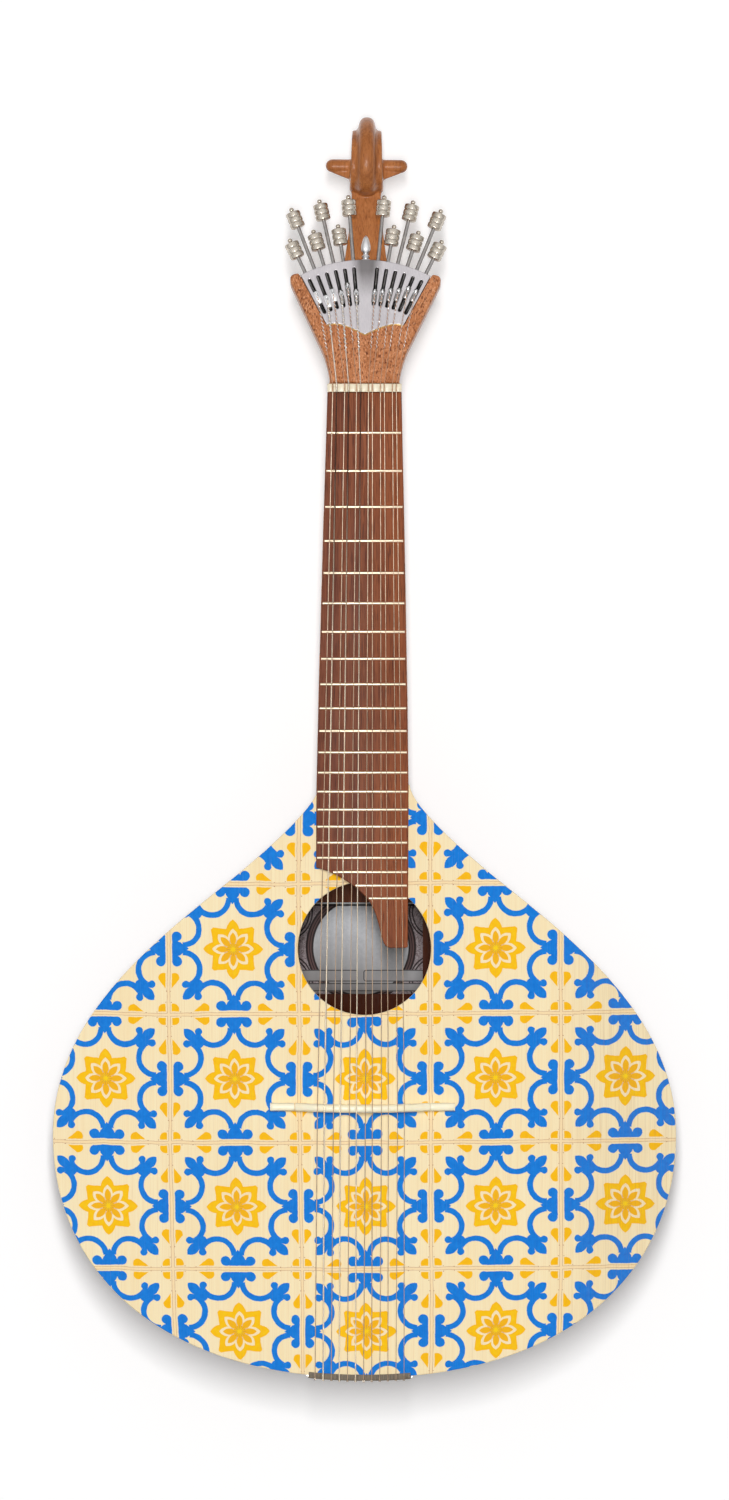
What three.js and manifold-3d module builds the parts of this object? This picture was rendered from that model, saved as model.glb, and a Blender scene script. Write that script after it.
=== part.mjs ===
// A Portuguese guitar: a pear-shaped twelve-string with a carved scroll, a fan of twelve screw
// tuners, a cambered fingerboard and a loose bone bridge. Millimetres.
// It lies on its back: X runs across the soundboard, Y from the tail to the scroll, Z up out of the
// soundboard. While it is built, Y is counted from the tail edge of the body.

import * as THREE from 'three';
import { mergeVertices } from 'three/addons/utils/BufferGeometryUtils.js';
import Module from 'manifold-3d';

const wasm = await Module();
wasm.setup();

// Clearances shared by all pieces
const fit = 0.3;
const weld = 0.0005;
const overrun = 2;

// Soundbox
const bodyHalfWidth = 190.8;
const bodyLength = 363;
const rootHalfWidth = 27.8;
const backThickness = 3;
const sideHeight = 65.4;
const sideThickness = 2.4;
const soundboardThickness = 3;
// Each curve from the neck root to the tail: two pulls and an end, across and along
const bodyCurveShares = [
  [[0.1458, 0.9627], [0.3606, 0.8681], [0.4765, 0.8198]],
  [[0.7491, 0.7061], [1, 0.5855], [1, 0.4094]],
  [[1, 0.1776], [0.6509, 0], [0, 0]],
];
const bodyCurveSteps = 12;

const soundholeSetback = 100.1;
const soundholeRadius = 40.7;
const soundholeFacets = 22;

const liningWidth = 5;
const liningHeight = 12;
const neckBlockHalfWidth = 48;
const neckBlockLength = 42;
const tailBlockHalfWidth = 36;
const tailBlockLength = 20;

const braceWidth = 7;
const braceHeight = 14;
const braceEndHeight = 5;
const braceTaper = 34;
const soundholeBraceGap = 4;
const bridgeBraceSetback = 37.9;
const upperBackBraceSetback = 158;
const lowerBackBraceSetback = 258;

// Strings, numbered from the bass side, two to a course
const stringRadii = [0.3, 0.5, 0.28, 0.44, 0.25, 0.38, 0.28, 0.28, 0.24, 0.24, 0.22, 0.22];
const courseStringCount = 2;
const stringFacets = 8;
const nutCourseStep = 7.3;
const nutPairGap = 2.4;
const bridgeCourseStep = 9.8;
const bridgePairGap = 4.2;
const tailStringStep = 4.95;

// Fingerboard, nut and bridge. At the bridge the strings lie a little to the bass side.
const neckLength = 240.2;
const scaleLength = 440.6;
const semitoneCount = 12;
const fretCount = 21;
const bridgeDistance = 437.3;
const bassSideOffset = 2.2;
const crownRadius = 220;
const crownSteps = 4;
const fingerboardThickness = 5.2;
const fingerboardNutHalfWidth = 22.7;
const fingerboardEndHalfWidth = 28.2;
const fingerboardBassOverlap = 50.9;
const fingerboardTrebleOverlap = 99.7;
const fingerboardCornerRadius = 1.2;
// Curved end of the fingerboard: pulls and ends, across its width and down its longer side
const fingerboardEndShares = [
  [[0.163, 0.037], [0.393, 0.176], [0.54, 0.36]],
  [[0.724, 0.576], [0.699, 1], [0.806, 1]],
];
const fretHeight = 1;
const fretWidth = 2;
const fretDepth = 0.7;
const fretInset = 0.35;

const nutDepth = 5;
const nutHalfWidth = 22.7;
const nutRise = 2.3;
const nutSlotDepth = 0.9;

const bridgeDepth = 5.2;
const bridgeShift = 1.2;
const bridgeCrownHeight = 10.4;
const bridgeFootHalfSpan = 56.6;
const bridgeBarHalfSpan = 41.4;
const bridgeFootHeight = 5.4;
const bridgeFootToeHeight = 4.4;
const bridgeArchHalfSpan = 34;
const bridgeArchRise = 3.4;

// Neck
const neckNutDepth = 16.5;
const neckRootDepth = 22;
const neckSideHeight = 3;
const neckFacets = 10;
const heelBottomZ = 2;
const heelCapHalfWidth = 13;
const heelCapReach = 15;
const heelTopReach = 62;
const neckHeadOverlap = 3;
// Rings of the heel from its cap upward: height, spread and reach
const heelRingShares = [
  [0, 0, 0], [0.16, 0.018, 0.001], [0.34, 0.093, 0.013], [0.5, 0.218, 0.063],
  [0.64, 0.375, 0.168], [0.76, 0.547, 0.334], [0.88, 0.755, 0.6], [1, 1, 1],
];

// Head, leaned back from the nut and turned a little to the treble side.
// Its own frame starts at the nut, u up the head, w out of its face.
const headLean = THREE.MathUtils.degToRad(10);
const headTurn = THREE.MathUtils.degToRad(0.55);
const headFaceRise = 3;
const headThickness = 16;
const headEdge = 1.4;
const headStart = 0.4;
const headWaistHalfWidth = 21.1;
const headFlareU = 20.5;
const headFlareHalfWidth = 26;
const hornShoulderDrop = 6.4;
const hornShoulderOutset = 5.2;
const hornCornerOutset = 8.6;
const hornTipRise = 1.4;
const hornTipOutset = 1.4;

// Fan of tuners, laid out from a centre on the head's axis
const fanCentreU = -8;
const fanRadius = 84.8;
const fanHalfAngle = THREE.MathUtils.degToRad(28);
const fanArcSteps = 14;
const plateThickness = 1.2;
const plateCornerRadius = 49.7;
const platePointU = 30.2;
const plateOgeeShares = [[0.74, 0.5], [0.4, -0.17]];
const pocketDepth = 8.3;
const frameHeight = 8;
const frameFloor = 1;
const frameSideWall = 0.5;
const frameRimInset = 0.8;
const frameRimWall = 2.2;
const frameBarInset = 1.8;
const frameBarWall = 3;

const slotCount = 12;
const firstSlotAngle = THREE.MathUtils.degToRad(5.1);
const slotStepAngle = THREE.MathUtils.degToRad(4.1);
const slotInnerGap = 2;
const slotOuterGap = 1.6;
const slotHalfWidth = 1.05;
const slotEndSteps = 2;

// Tuner screw: a threaded shank, two collars, a plain rod and a knurled knob with a ball end
const screwDrop = 3.2;
const threadRadius = 0.9;
const pivotLength = 2.4;
const rodRadius = 1.15;
const collarRadius = 1.9;
const collarLength = 0.6;
const screwFacets = 8;
const borePlay = 0.3;
const longRodLength = 29;
const shortRodLength = 11.7;
const knobBandCount = 3;
const knobRadius = 4.5;
const knobGrooveRadius = 3.8;
const knobBandLength = 2.5;
const knobGrooveLength = 0.9;
const knobChamfer = 1.2;
const ballRadius = 1.5;

// Hooked slider that each screw draws along its slot
const sliderLength = 8;
const sliderWidth = 3.1;
const sliderBlockDepth = 6;
const sliderNeckWidth = 1.5;
const sliderCapThickness = 1;
const sliderPlay = 0.4;
const sliderEdge = 0.6;
const hookWidth = 1.4;
const hookThickness = 1.4;
const hookHeight = 2.3;
const hookReach = 3;
const hookTipThickness = 0.8;
const sliderEndGap = 0.65;
// Where each slider stands along its travel, from the inner end
const sliderPlaceShares = [
  0.4276, 0.1083, 0.2811, 0.1346, 0.3996, 0.0803, 0.0869, 0.128, 0.24, 0.3371, 0.5593, 0.5658,
];

// Turned finial on the rim of the fan
const finialLength = 16.5;
const finialRadius = 3;
const finialNeckRadius = 1.3;
const finialFacets = 10;
const finialProfileShares = [
  [1.06, 0], [1.06, 0.07], [0.5, 0.12], [0.87, 0.19], [0.45, 0.28],
  [1, 0.47], [0.83, 0.72], [0.35, 0.95],
];

// Scroll: a stem behind the fan that rolls forward around an axis with two ears
const scrollReach = 62.4;
const scrollAxisZ = 38;
const scrollTopRadius = 30.1;
const scrollThroatRadius = 17.8;
const scrollBackRadius = 33;
const scrollHubRadius = 2;
const scrollSteps = 16;
const scrollHalfWidth = 9;
const throatHalfWidth = 10.4;
const ridgeHalfWidth = 4.2;
const ridgeHeight = 8.1;
const throatRidgeHeight = 2;
// Rounding of the band's edges and rise of its hollows, as parts of the ridge's height
const cheekRoundingShare = 0.125;
const hollowRiseShare = 0.2;
const ridgeSideShares = [[1, 0.5], [0.7, 0.86]];
const earRadius = 4.1;
const earHalfLength = 25.1;
const earEndShares = [0.35, 0.7, 1];
const coilRadius = 9.6;
const coilHalfLength = 20.5;
const coilSteps = 10;
const coilStartShare = 0.42;
const coilTurnShare = 0.6;
const coilTipShare = 0.5;
const stemRootSetback = 25;
const stemRootHalfWidth = 16.5;
const stemRootDepth = 9;
const stemSteps = 9;
const stemPullShares = [0.42, 0.62];
const stemTaperShare = 0.667;
const stemRidgeShare = 0.1;

// Tail: a guard over the edge and a hooked plate on the sides below it
const guardInset = 4;
const guardReach = 1.8;
const guardHeight = 2.7;
const guardLip = 5;
const guardHalfWidth = 31.2;
const guardChamfer = 0.8;
// Turns of a string as it bends down over the guard
const tailBendShares = [0, 1 / 3, 2 / 3, 1];
const tailPlateThickness = 0.8;
const tailPlateTop = 60;
const tailPlateBottom = 34;
const tailPlateHalfWidth = 32.5;
const tailHookTop = 46.4;
const tailHookThickness = 1.3;
const tailHookDrop = 5;
const tailHookReach = 3.4;
const tailHookWidth = 1.6;

// Places along the guitar that follow from the sizes above
const nutY = bodyLength + neckLength;
const bridgeY = nutY - bridgeDistance;
const soundholeY = bodyLength - soundholeSetback;
const fingerboardBassEndY = bodyLength - fingerboardBassOverlap;
const fingerboardTrebleEndY = bodyLength - fingerboardTrebleOverlap;
const fanRimY = nutY + fanCentreU + fanRadius;
const scrollAxisY = fanRimY + scrollReach;
const stemRootY = fanRimY - stemRootSetback;

// Places on the fan
const fanEndHalfWidth = fanRadius * Math.sin(fanHalfAngle);
const fanEndU = fanCentreU + fanRadius * Math.cos(fanHalfAngle);
const frameRimRadius = fanRadius - frameRimInset;
const frameBarRadius = plateCornerRadius + frameBarInset;
const slotInnerRadius = frameBarRadius + frameBarWall + slotInnerGap;
const slotOuterRadius = frameRimRadius - frameRimWall - slotOuterGap;
const travelInset = sliderLength / 2 + sliderEndGap;
const sliderRadii = sliderPlaceShares.map((share) => THREE.MathUtils.lerp(
  slotInnerRadius + travelInset, slotOuterRadius - travelInset, share));

// Heights
const sideBottom = backThickness + fit;
const sideTop = sideBottom + sideHeight;
const soundboardBottom = sideTop + fit;
const soundboardTop = soundboardBottom + soundboardThickness;
const fingerboardBottom = soundboardTop + fit;
const fingerboardTop = fingerboardBottom + fingerboardThickness;
const neckTop = soundboardTop;
const nutTop = fingerboardTop + nutRise;
const headY = nutY + fit + nutDepth + fit;
const headZ = neckTop + headFaceRise;
const plateBottom = fit;
const plateTop = plateBottom + plateThickness;
const capBottom = plateTop + sliderPlay;
const capTop = capBottom + sliderCapThickness;
const guardTop = fingerboardBottom + guardHeight;

const colours = {
  spruce: 0xffecbe,
  mahogany: 0xb4683c,
  rosewood: 0x78402c,
  bone: 0xf2ead6,
  steel: 0xb9bcc0,
  nickel: 0xa9a493,
  wire: 0xc8c8cc,
  slate: 0x6f6258,
};
const finishes = {
  spruce: { color: colours.spruce, roughness: 0.55, metalness: 0 },
  mahogany: { color: colours.mahogany, roughness: 0.45, metalness: 0 },
  rosewood: { color: colours.rosewood, roughness: 0.5, metalness: 0 },
  bone: { color: colours.bone, roughness: 0.35, metalness: 0 },
  steel: { color: colours.steel, roughness: 0.32, metalness: 1 },
  nickel: { color: colours.nickel, roughness: 0.4, metalness: 1 },
  wire: { color: colours.wire, roughness: 0.3, metalness: 1 },
  slate: { color: colours.slate, roughness: 0.6, metalness: 0 },
};

const guitar = new THREE.Group();
const head = new THREE.Group();
head.position.set(0, headY, headZ);
head.rotation.set(-headLean, 0, -headTurn, 'ZYX');
head.updateMatrix();

// Helpers

function addPiece(parent, name, geometry, finish) {
  const mesh = new THREE.Mesh(geometry, new THREE.MeshStandardMaterial(finishes[finish]));
  mesh.name = name;
  parent.add(mesh);
  return mesh;
}

function toSolid(geometry) {
  const bare = geometry.clone();
  bare.deleteAttribute('normal');
  bare.deleteAttribute('uv');
  const merged = mergeVertices(bare, weld);
  return new wasm.Manifold(new wasm.Mesh({
    numProp: 3,
    vertProperties: new Float32Array(merged.attributes.position.array),
    triVerts: new Uint32Array(merged.index.array),
  }));
}

function toGeometry(solid) {
  const mesh = solid.getMesh();
  const geometry = new THREE.BufferGeometry();
  geometry.setAttribute('position', new THREE.BufferAttribute(mesh.vertProperties, 3));
  geometry.setIndex(new THREE.BufferAttribute(mesh.triVerts, 1));
  geometry.computeVertexNormals();
  return geometry;
}

function joinAll(geometries) {
  return geometries.map(toSolid).reduce((sum, solid) => sum.add(solid));
}

// A flat outline in X and Y, raised from a bottom to a top height
function raised(outline, bottom, top, curveSegments = bodyCurveSteps) {
  const shape = outline instanceof THREE.Shape ? outline : new THREE.Shape(outline);
  const geometry = new THREE.ExtrudeGeometry(shape, {
    depth: top - bottom, bevelEnabled: false, curveSegments,
  });
  return geometry.translate(0, 0, bottom);
}

// A profile in X and Z, carried along Y
function alongY(profile, from, to) {
  const shape = profile instanceof THREE.Shape ? profile : new THREE.Shape(profile);
  const geometry = new THREE.ExtrudeGeometry(shape, { depth: to - from, bevelEnabled: false });
  return geometry.rotateX(Math.PI / 2).translate(0, to, 0);
}

// A profile in Y and Z, carried along X
function alongX(profile, from, to) {
  const turn = new THREE.Matrix4().makeBasis(
    new THREE.Vector3(0, 1, 0), new THREE.Vector3(0, 0, 1), new THREE.Vector3(1, 0, 0));
  const shape = new THREE.Shape(profile);
  const geometry = new THREE.ExtrudeGeometry(shape, { depth: to - from, bevelEnabled: false });
  return geometry.applyMatrix4(turn).translate(from, 0, 0);
}

function block(from, to) {
  const size = to.clone().sub(from);
  const middle = from.clone().add(to).divideScalar(2);
  return new THREE.BoxGeometry(size.x, size.y, size.z).translate(middle.x, middle.y, middle.z);
}

// A closed skin over rings of points, each ring going the same way round
function loft(rings) {
  const count = rings[0].length;
  const points = rings.flat();
  const faces = [];
  for (let ring = 0; ring < rings.length - 1; ring += 1) {
    for (let i = 0; i < count; i += 1) {
      const a = ring * count + i;
      const b = ring * count + (i + 1) % count;
      faces.push(a, b, b + count, a, b + count, a + count);
    }
  }
  const addCap = (ring, outward) => {
    const centre = points.length;
    points.push(rings[ring].reduce((sum, p) => sum.add(p), new THREE.Vector3()).divideScalar(count));
    for (let i = 0; i < count; i += 1) {
      const a = ring * count + i;
      const b = ring * count + (i + 1) % count;
      faces.push(...(outward ? [a, b, centre] : [b, a, centre]));
    }
  };
  addCap(0, false);
  addCap(rings.length - 1, true);
  const geometry = new THREE.BufferGeometry().setFromPoints(points);
  geometry.setIndex(faces);
  return geometry;
}

// A closed loop of points that runs counter-clockwise, moved outward by a distance
function offsetLoop(points, distance) {
  return points.map((point, i) => {
    const before = points[(i + points.length - 1) % points.length];
    const after = points[(i + 1) % points.length];
    const inEdge = point.clone().sub(before).normalize();
    const outEdge = after.clone().sub(point).normalize();
    const sum = new THREE.Vector2(inEdge.y + outEdge.y, -inEdge.x - outEdge.x);
    return point.clone().addScaledVector(sum, distance / (1 + inEdge.dot(outEdge)));
  });
}

// Height of a cambered surface below its crown, at a distance from its middle
function crownFall(across) {
  return crownRadius - Math.sqrt(crownRadius ** 2 - across ** 2);
}

// How far the neck and the strings lie to the bass side at a place along the guitar
function leanAt(y) {
  return -bassSideOffset * (nutY - y) / bridgeDistance;
}

// A point in the head's frame, as a point in the guitar's
function fromHead(x, u, w) {
  return new THREE.Vector3(x, u, w).applyMatrix4(head.matrix);
}

// Body outline

const rightHalf = new THREE.Path();
rightHalf.moveTo(rootHalfWidth, bodyLength);
for (const [pull, secondPull, end] of bodyCurveShares) {
  rightHalf.bezierCurveTo(
    pull[0] * bodyHalfWidth, pull[1] * bodyLength,
    secondPull[0] * bodyHalfWidth, secondPull[1] * bodyLength,
    end[0] * bodyHalfWidth, end[1] * bodyLength);
}
const rightPoints = rightHalf.getPoints(bodyCurveSteps).reverse();
const leftPoints = rightPoints.slice(1).reverse().map((p) => new THREE.Vector2(-p.x, p.y));
const bodyLoop = [...rightPoints, ...leftPoints];
const innerLoop = offsetLoop(bodyLoop, -sideThickness - fit);
const liningLoop = offsetLoop(bodyLoop, -sideThickness - fit - liningWidth);
const braceLoop = offsetLoop(bodyLoop, -sideThickness - 2 * fit - liningWidth);

// Half width of a loop's right side at a place along the guitar, counting only its widest crossing
function loopHalfWidth(loop, y) {
  let widest = 0;
  for (let i = 0; i < loop.length - 1; i += 1) {
    const [a, b] = [loop[i], loop[i + 1]];
    if ((a.y - y) * (b.y - y) <= 0 && a.y !== b.y) {
      widest = Math.max(widest, a.x + (b.x - a.x) * (y - a.y) / (b.y - a.y));
    }
  }
  return widest;
}

// Place of the tail edge along the guitar, at a distance across it
function tailEdgeY(x) {
  const across = Math.abs(x);
  const next = rightPoints.findIndex((p) => p.x > across);
  const [a, b] = [rightPoints[next - 1], rightPoints[next]];
  return a.y + (b.y - a.y) * (across - a.x) / (b.x - a.x);
}

function makeSoundbox() {
  addPiece(guitar, 'back', raised(bodyLoop, 0, backThickness), 'mahogany');

  const top = new THREE.Shape(bodyLoop);
  top.holes.push(new THREE.Path().absarc(0, soundholeY, soundholeRadius, 0, 2 * Math.PI, true));
  const topGeometry = raised(top, soundboardBottom, soundboardTop, soundholeFacets);
  addPiece(guitar, 'soundboard', topGeometry, 'spruce');

  const inside = offsetLoop(bodyLoop, -sideThickness).slice(0, rightPoints.length);
  inside[0].x = fit / 2;
  inside.push(new THREE.Vector2(fit / 2, bodyLength - sideThickness));
  const outside = rightPoints.map((p) => p.clone());
  outside[0].x = fit / 2;
  outside.push(new THREE.Vector2(fit / 2, bodyLength));
  const rib = [...outside, ...inside.reverse()];
  const mirrored = rib.map((p) => new THREE.Vector2(-p.x, p.y)).reverse();
  addPiece(guitar, 'side_right', raised(rib, sideBottom, sideTop), 'mahogany');
  addPiece(guitar, 'side_left', raised(mirrored, sideBottom, sideTop), 'mahogany');
}

// Wood blocks that fill the soundbox at the neck and the tail
function makeBlocks() {
  const inside = toSolid(raised(innerLoop, sideBottom, sideTop));
  const neckRegion = block(
    new THREE.Vector3(-neckBlockHalfWidth, bodyLength - neckBlockLength, sideBottom - overrun),
    new THREE.Vector3(neckBlockHalfWidth, bodyLength + overrun, sideTop + overrun));
  const tailRegion = block(
    new THREE.Vector3(-tailBlockHalfWidth, -overrun, sideBottom - overrun),
    new THREE.Vector3(tailBlockHalfWidth, tailBlockLength, sideTop + overrun));
  addPiece(guitar, 'neck_block', toGeometry(inside.intersect(toSolid(neckRegion))), 'mahogany');
  addPiece(guitar, 'tail_block', toGeometry(inside.intersect(toSolid(tailRegion))), 'mahogany');
}

// Strips that widen the gluing edge of the sides, between the blocks
function makeLinings() {
  const levels = { soundboard: sideTop - liningHeight, back: sideBottom };
  for (const [level, bottom] of Object.entries(levels)) {
    const rim = toSolid(raised(innerLoop, bottom, bottom + liningHeight));
    const hollow = toSolid(raised(liningLoop, bottom - overrun, bottom + liningHeight + overrun));
    const nearNeck = block(
      new THREE.Vector3(-neckBlockHalfWidth - fit, bodyLength - neckBlockLength - fit, bottom - overrun),
      new THREE.Vector3(neckBlockHalfWidth + fit, bodyLength, bottom + liningHeight + overrun));
    const nearTail = block(
      new THREE.Vector3(-tailBlockHalfWidth - fit, -overrun, bottom - overrun),
      new THREE.Vector3(tailBlockHalfWidth + fit, tailBlockLength, bottom + liningHeight + overrun));
    const ring = rim.subtract(hollow).subtract(toSolid(nearNeck)).subtract(toSolid(nearTail));
    for (const [side, sign] of [['left', -1], ['right', 1]]) {
      const half = block(
        new THREE.Vector3(Math.min(0, sign * bodyHalfWidth), 0, bottom - overrun),
        new THREE.Vector3(Math.max(0, sign * bodyHalfWidth), bodyLength, bottom + liningHeight + overrun));
      addPiece(guitar, `lining_${level}_${side}`, toGeometry(ring.intersect(toSolid(half))), 'spruce');
    }
  }
}

// A bar across the soundbox, glued flat on one face and thinned toward both ends
function brace(name, y, glueZ, away) {
  const reach = Math.min(
    loopHalfWidth(braceLoop, y - braceWidth / 2), loopHalfWidth(braceLoop, y + braceWidth / 2));
  const profile = [
    new THREE.Vector2(-reach, glueZ),
    new THREE.Vector2(-reach, glueZ + away * braceEndHeight),
    new THREE.Vector2(-reach + braceTaper, glueZ + away * braceHeight),
    new THREE.Vector2(reach - braceTaper, glueZ + away * braceHeight),
    new THREE.Vector2(reach, glueZ + away * braceEndHeight),
    new THREE.Vector2(reach, glueZ),
  ];
  addPiece(guitar, name, alongY(profile, y - braceWidth / 2, y + braceWidth / 2), 'spruce');
}

function makeBraces() {
  const beside = soundholeRadius + soundholeBraceGap + braceWidth / 2;
  brace('soundboard_brace_upper', soundholeY + beside, sideTop, -1);
  brace('soundboard_brace_middle', soundholeY - beside, sideTop, -1);
  brace('soundboard_brace_lower', bridgeY - bridgeBraceSetback, sideTop, -1);
  brace('back_brace_upper', bodyLength - upperBackBraceSetback, sideBottom, 1);
  brace('back_brace_lower', bodyLength - lowerBackBraceSetback, sideBottom, 1);
}

// Points of a cambered line from one side to the other, at a height over the crown
function crownLine(middle, halfWidth, height) {
  const points = [];
  for (let i = 0; i <= crownSteps; i += 1) {
    const across = halfWidth * (2 * i / crownSteps - 1);
    points.push(new THREE.Vector2(middle + across, height - crownFall(across)));
  }
  return points;
}

// Plan of the fingerboard: straight sides, and an end that curves down to the treble side
function fingerboardPlan() {
  const bassEnd = leanAt(fingerboardBassEndY) - fingerboardEndHalfWidth;
  const trebleEnd = leanAt(fingerboardTrebleEndY) + fingerboardEndHalfWidth;
  const drop = fingerboardBassEndY - fingerboardTrebleEndY;
  const span = trebleEnd - bassEnd;
  const plan = new THREE.Shape();
  plan.moveTo(leanAt(nutY) - fingerboardNutHalfWidth, nutY);
  plan.lineTo(leanAt(bodyLength) - fingerboardEndHalfWidth, bodyLength);
  plan.lineTo(bassEnd, fingerboardBassEndY + fingerboardCornerRadius);
  plan.quadraticCurveTo(
    bassEnd, fingerboardBassEndY, bassEnd + fingerboardCornerRadius, fingerboardBassEndY);
  for (const curve of fingerboardEndShares) {
    const [pull, secondPull, end] = curve.map(([across, down]) => new THREE.Vector2(
      bassEnd + across * span, fingerboardBassEndY - down * drop));
    plan.bezierCurveTo(pull.x, pull.y, secondPull.x, secondPull.y, end.x, end.y);
  }
  plan.lineTo(trebleEnd, fingerboardTrebleEndY);
  plan.lineTo(leanAt(bodyLength) + fingerboardEndHalfWidth, bodyLength);
  plan.lineTo(leanAt(nutY) + fingerboardNutHalfWidth, nutY);
  return plan.getPoints(bodyCurveSteps / 2);
}

// Cambered board with its frets set across it
function makeFingerboard() {
  const plan = fingerboardPlan();
  const middle = leanAt((nutY + fingerboardTrebleEndY) / 2);
  const reach = fingerboardEndHalfWidth + overrun;
  const crown = [
    new THREE.Vector2(middle - reach, fingerboardBottom),
    new THREE.Vector2(middle + reach, fingerboardBottom),
    ...crownLine(middle, reach, fingerboardTop).reverse(),
  ];
  const blank = toSolid(raised(plan, fingerboardBottom, fingerboardTop + overrun));
  const board = blank.intersect(toSolid(alongY(crown, fingerboardTrebleEndY - overrun, nutY + overrun)));

  const wire = [
    ...crownLine(middle, reach, fingerboardTop - fretDepth),
    ...crownLine(middle, reach, fingerboardTop + fretHeight).reverse(),
  ];
  const inset = offsetLoop(plan, -fretInset);
  const zone = toSolid(raised(inset, fingerboardBottom, fingerboardTop + 2 * fretHeight));
  let frets = null;
  for (let fret = 1; fret <= fretCount; fret += 1) {
    const y = nutY - scaleLength * (1 - 2 ** (-fret / semitoneCount));
    const strip = toSolid(alongY(wire, y - fretWidth / 2, y + fretWidth / 2));
    frets = frets ? frets.add(strip) : strip;
  }
  addPiece(guitar, 'fingerboard', toGeometry(board.add(frets.intersect(zone))), 'rosewood');
}

// Where each string lies at the nut, at the bridge and at the tail
function stringPlaces() {
  const middle = (stringRadii.length - 1) / 2;
  const middleCourse = (stringRadii.length / courseStringCount - 1) / 2;
  return stringRadii.map((radius, i) => {
    const course = Math.floor(i / courseStringCount) - middleCourse;
    const half = i % courseStringCount - 1 / 2;
    return {
      radius,
      nut: course * nutCourseStep + half * nutPairGap,
      bridge: leanAt(bridgeY) + course * bridgeCourseStep + half * bridgePairGap,
      tail: leanAt(0) + (i - middle) * tailStringStep,
    };
  });
}

// Bone nut, cambered, with a slot for each string
function makeNut() {
  const profile = [
    new THREE.Vector2(-nutHalfWidth, fingerboardBottom),
    new THREE.Vector2(nutHalfWidth, fingerboardBottom),
    new THREE.Vector2(nutHalfWidth, nutTop - crownFall(nutHalfWidth)),
  ];
  for (const { nut, radius } of stringPlaces().reverse()) {
    const top = nutTop - crownFall(nut);
    const half = radius + fit;
    profile.push(new THREE.Vector2(nut + half, top));
    profile.push(new THREE.Vector2(nut + half, top - nutSlotDepth));
    profile.push(new THREE.Vector2(nut - half, top - nutSlotDepth));
    profile.push(new THREE.Vector2(nut - half, top));
  }
  profile.push(new THREE.Vector2(-nutHalfWidth, nutTop - crownFall(nutHalfWidth)));
  addPiece(guitar, 'nut', alongY(profile, nutY + fit, nutY + fit + nutDepth), 'bone');
}

// Bone bridge: an arched bar between two flat feet
function makeBridge() {
  const bottom = soundboardTop + fit;
  const crownZ = soundboardTop + bridgeCrownHeight;
  const profile = new THREE.Shape();
  profile.moveTo(-bridgeFootHalfSpan, bottom);
  profile.lineTo(-bridgeArchHalfSpan, bottom);
  profile.bezierCurveTo(
    -bridgeArchHalfSpan / 2, bottom + bridgeArchRise, bridgeArchHalfSpan / 2,
    bottom + bridgeArchRise, bridgeArchHalfSpan, bottom);
  profile.lineTo(bridgeFootHalfSpan, bottom);
  profile.lineTo(bridgeFootHalfSpan, bottom + bridgeFootToeHeight);
  profile.lineTo(bridgeBarHalfSpan, bottom + bridgeFootHeight);
  const strings = stringPlaces();
  const spread = (strings.at(-1).bridge - strings[0].bridge) / 2 + bridgePairGap / 2;
  const line = crownLine(leanAt(bridgeY) + bridgeShift, spread, crownZ).reverse();
  for (const point of line) profile.lineTo(point.x, point.y);
  profile.lineTo(-bridgeBarHalfSpan, bottom + bridgeFootHeight);
  profile.lineTo(-bridgeFootHalfSpan, bottom + bridgeFootToeHeight);
  const bar = alongY(profile, bridgeY - bridgeDepth / 2, bridgeY + bridgeDepth / 2);
  addPiece(guitar, 'bridge', bar.translate(-bridgeShift, 0, 0), 'bone');
}

// Neck, heel, head and scroll are one carved piece

function neckShaft() {
  const ring = (y, halfWidth, depth) => {
    const middle = leanAt(y);
    const points = [new THREE.Vector3(middle + halfWidth, y, neckTop)];
    for (let i = 0; i <= neckFacets; i += 1) {
      const angle = Math.PI * i / neckFacets;
      points.push(new THREE.Vector3(
        middle + halfWidth * Math.cos(angle), y,
        neckTop - neckSideHeight - (depth - neckSideHeight) * Math.sin(angle)));
    }
    points.push(new THREE.Vector3(middle - halfWidth, y, neckTop));
    return points;
  };
  return loft([
    ring(bodyLength + fit, fingerboardEndHalfWidth, neckRootDepth),
    ring(nutY, fingerboardNutHalfWidth, neckNutDepth),
    ring(headY + neckHeadOverlap, headWaistHalfWidth, neckNutDepth),
  ]);
}

function neckHeel() {
  const topZ = neckTop - neckRootDepth / 2;
  const topHalfWidth = fingerboardEndHalfWidth - neckSideHeight;
  const middle = leanAt(bodyLength);
  const start = bodyLength + fit;
  return loft(heelRingShares.map(([heightShare, spreadShare, reachShare]) => {
    const z = THREE.MathUtils.lerp(heelBottomZ, topZ, heightShare);
    const halfWidth = THREE.MathUtils.lerp(heelCapHalfWidth, topHalfWidth, spreadShare);
    const reach = THREE.MathUtils.lerp(heelCapReach, heelTopReach, reachShare);
    const points = [];
    for (let i = 0; i <= neckFacets; i += 1) {
      const angle = Math.PI * i / neckFacets;
      points.push(new THREE.Vector3(
        middle + halfWidth * Math.cos(angle), start + reach * Math.sin(angle), z));
    }
    return points;
  }));
}

// Points of an arc about the fan's centre, from one angle to another, measured off the head's axis
function fanArc(radius, from, to) {
  const points = [];
  for (let i = 0; i <= fanArcSteps; i += 1) {
    const angle = from + (to - from) * i / fanArcSteps;
    points.push(new THREE.Vector2(radius * Math.sin(angle), fanCentreU + radius * Math.cos(angle)));
  }
  return points;
}

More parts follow.
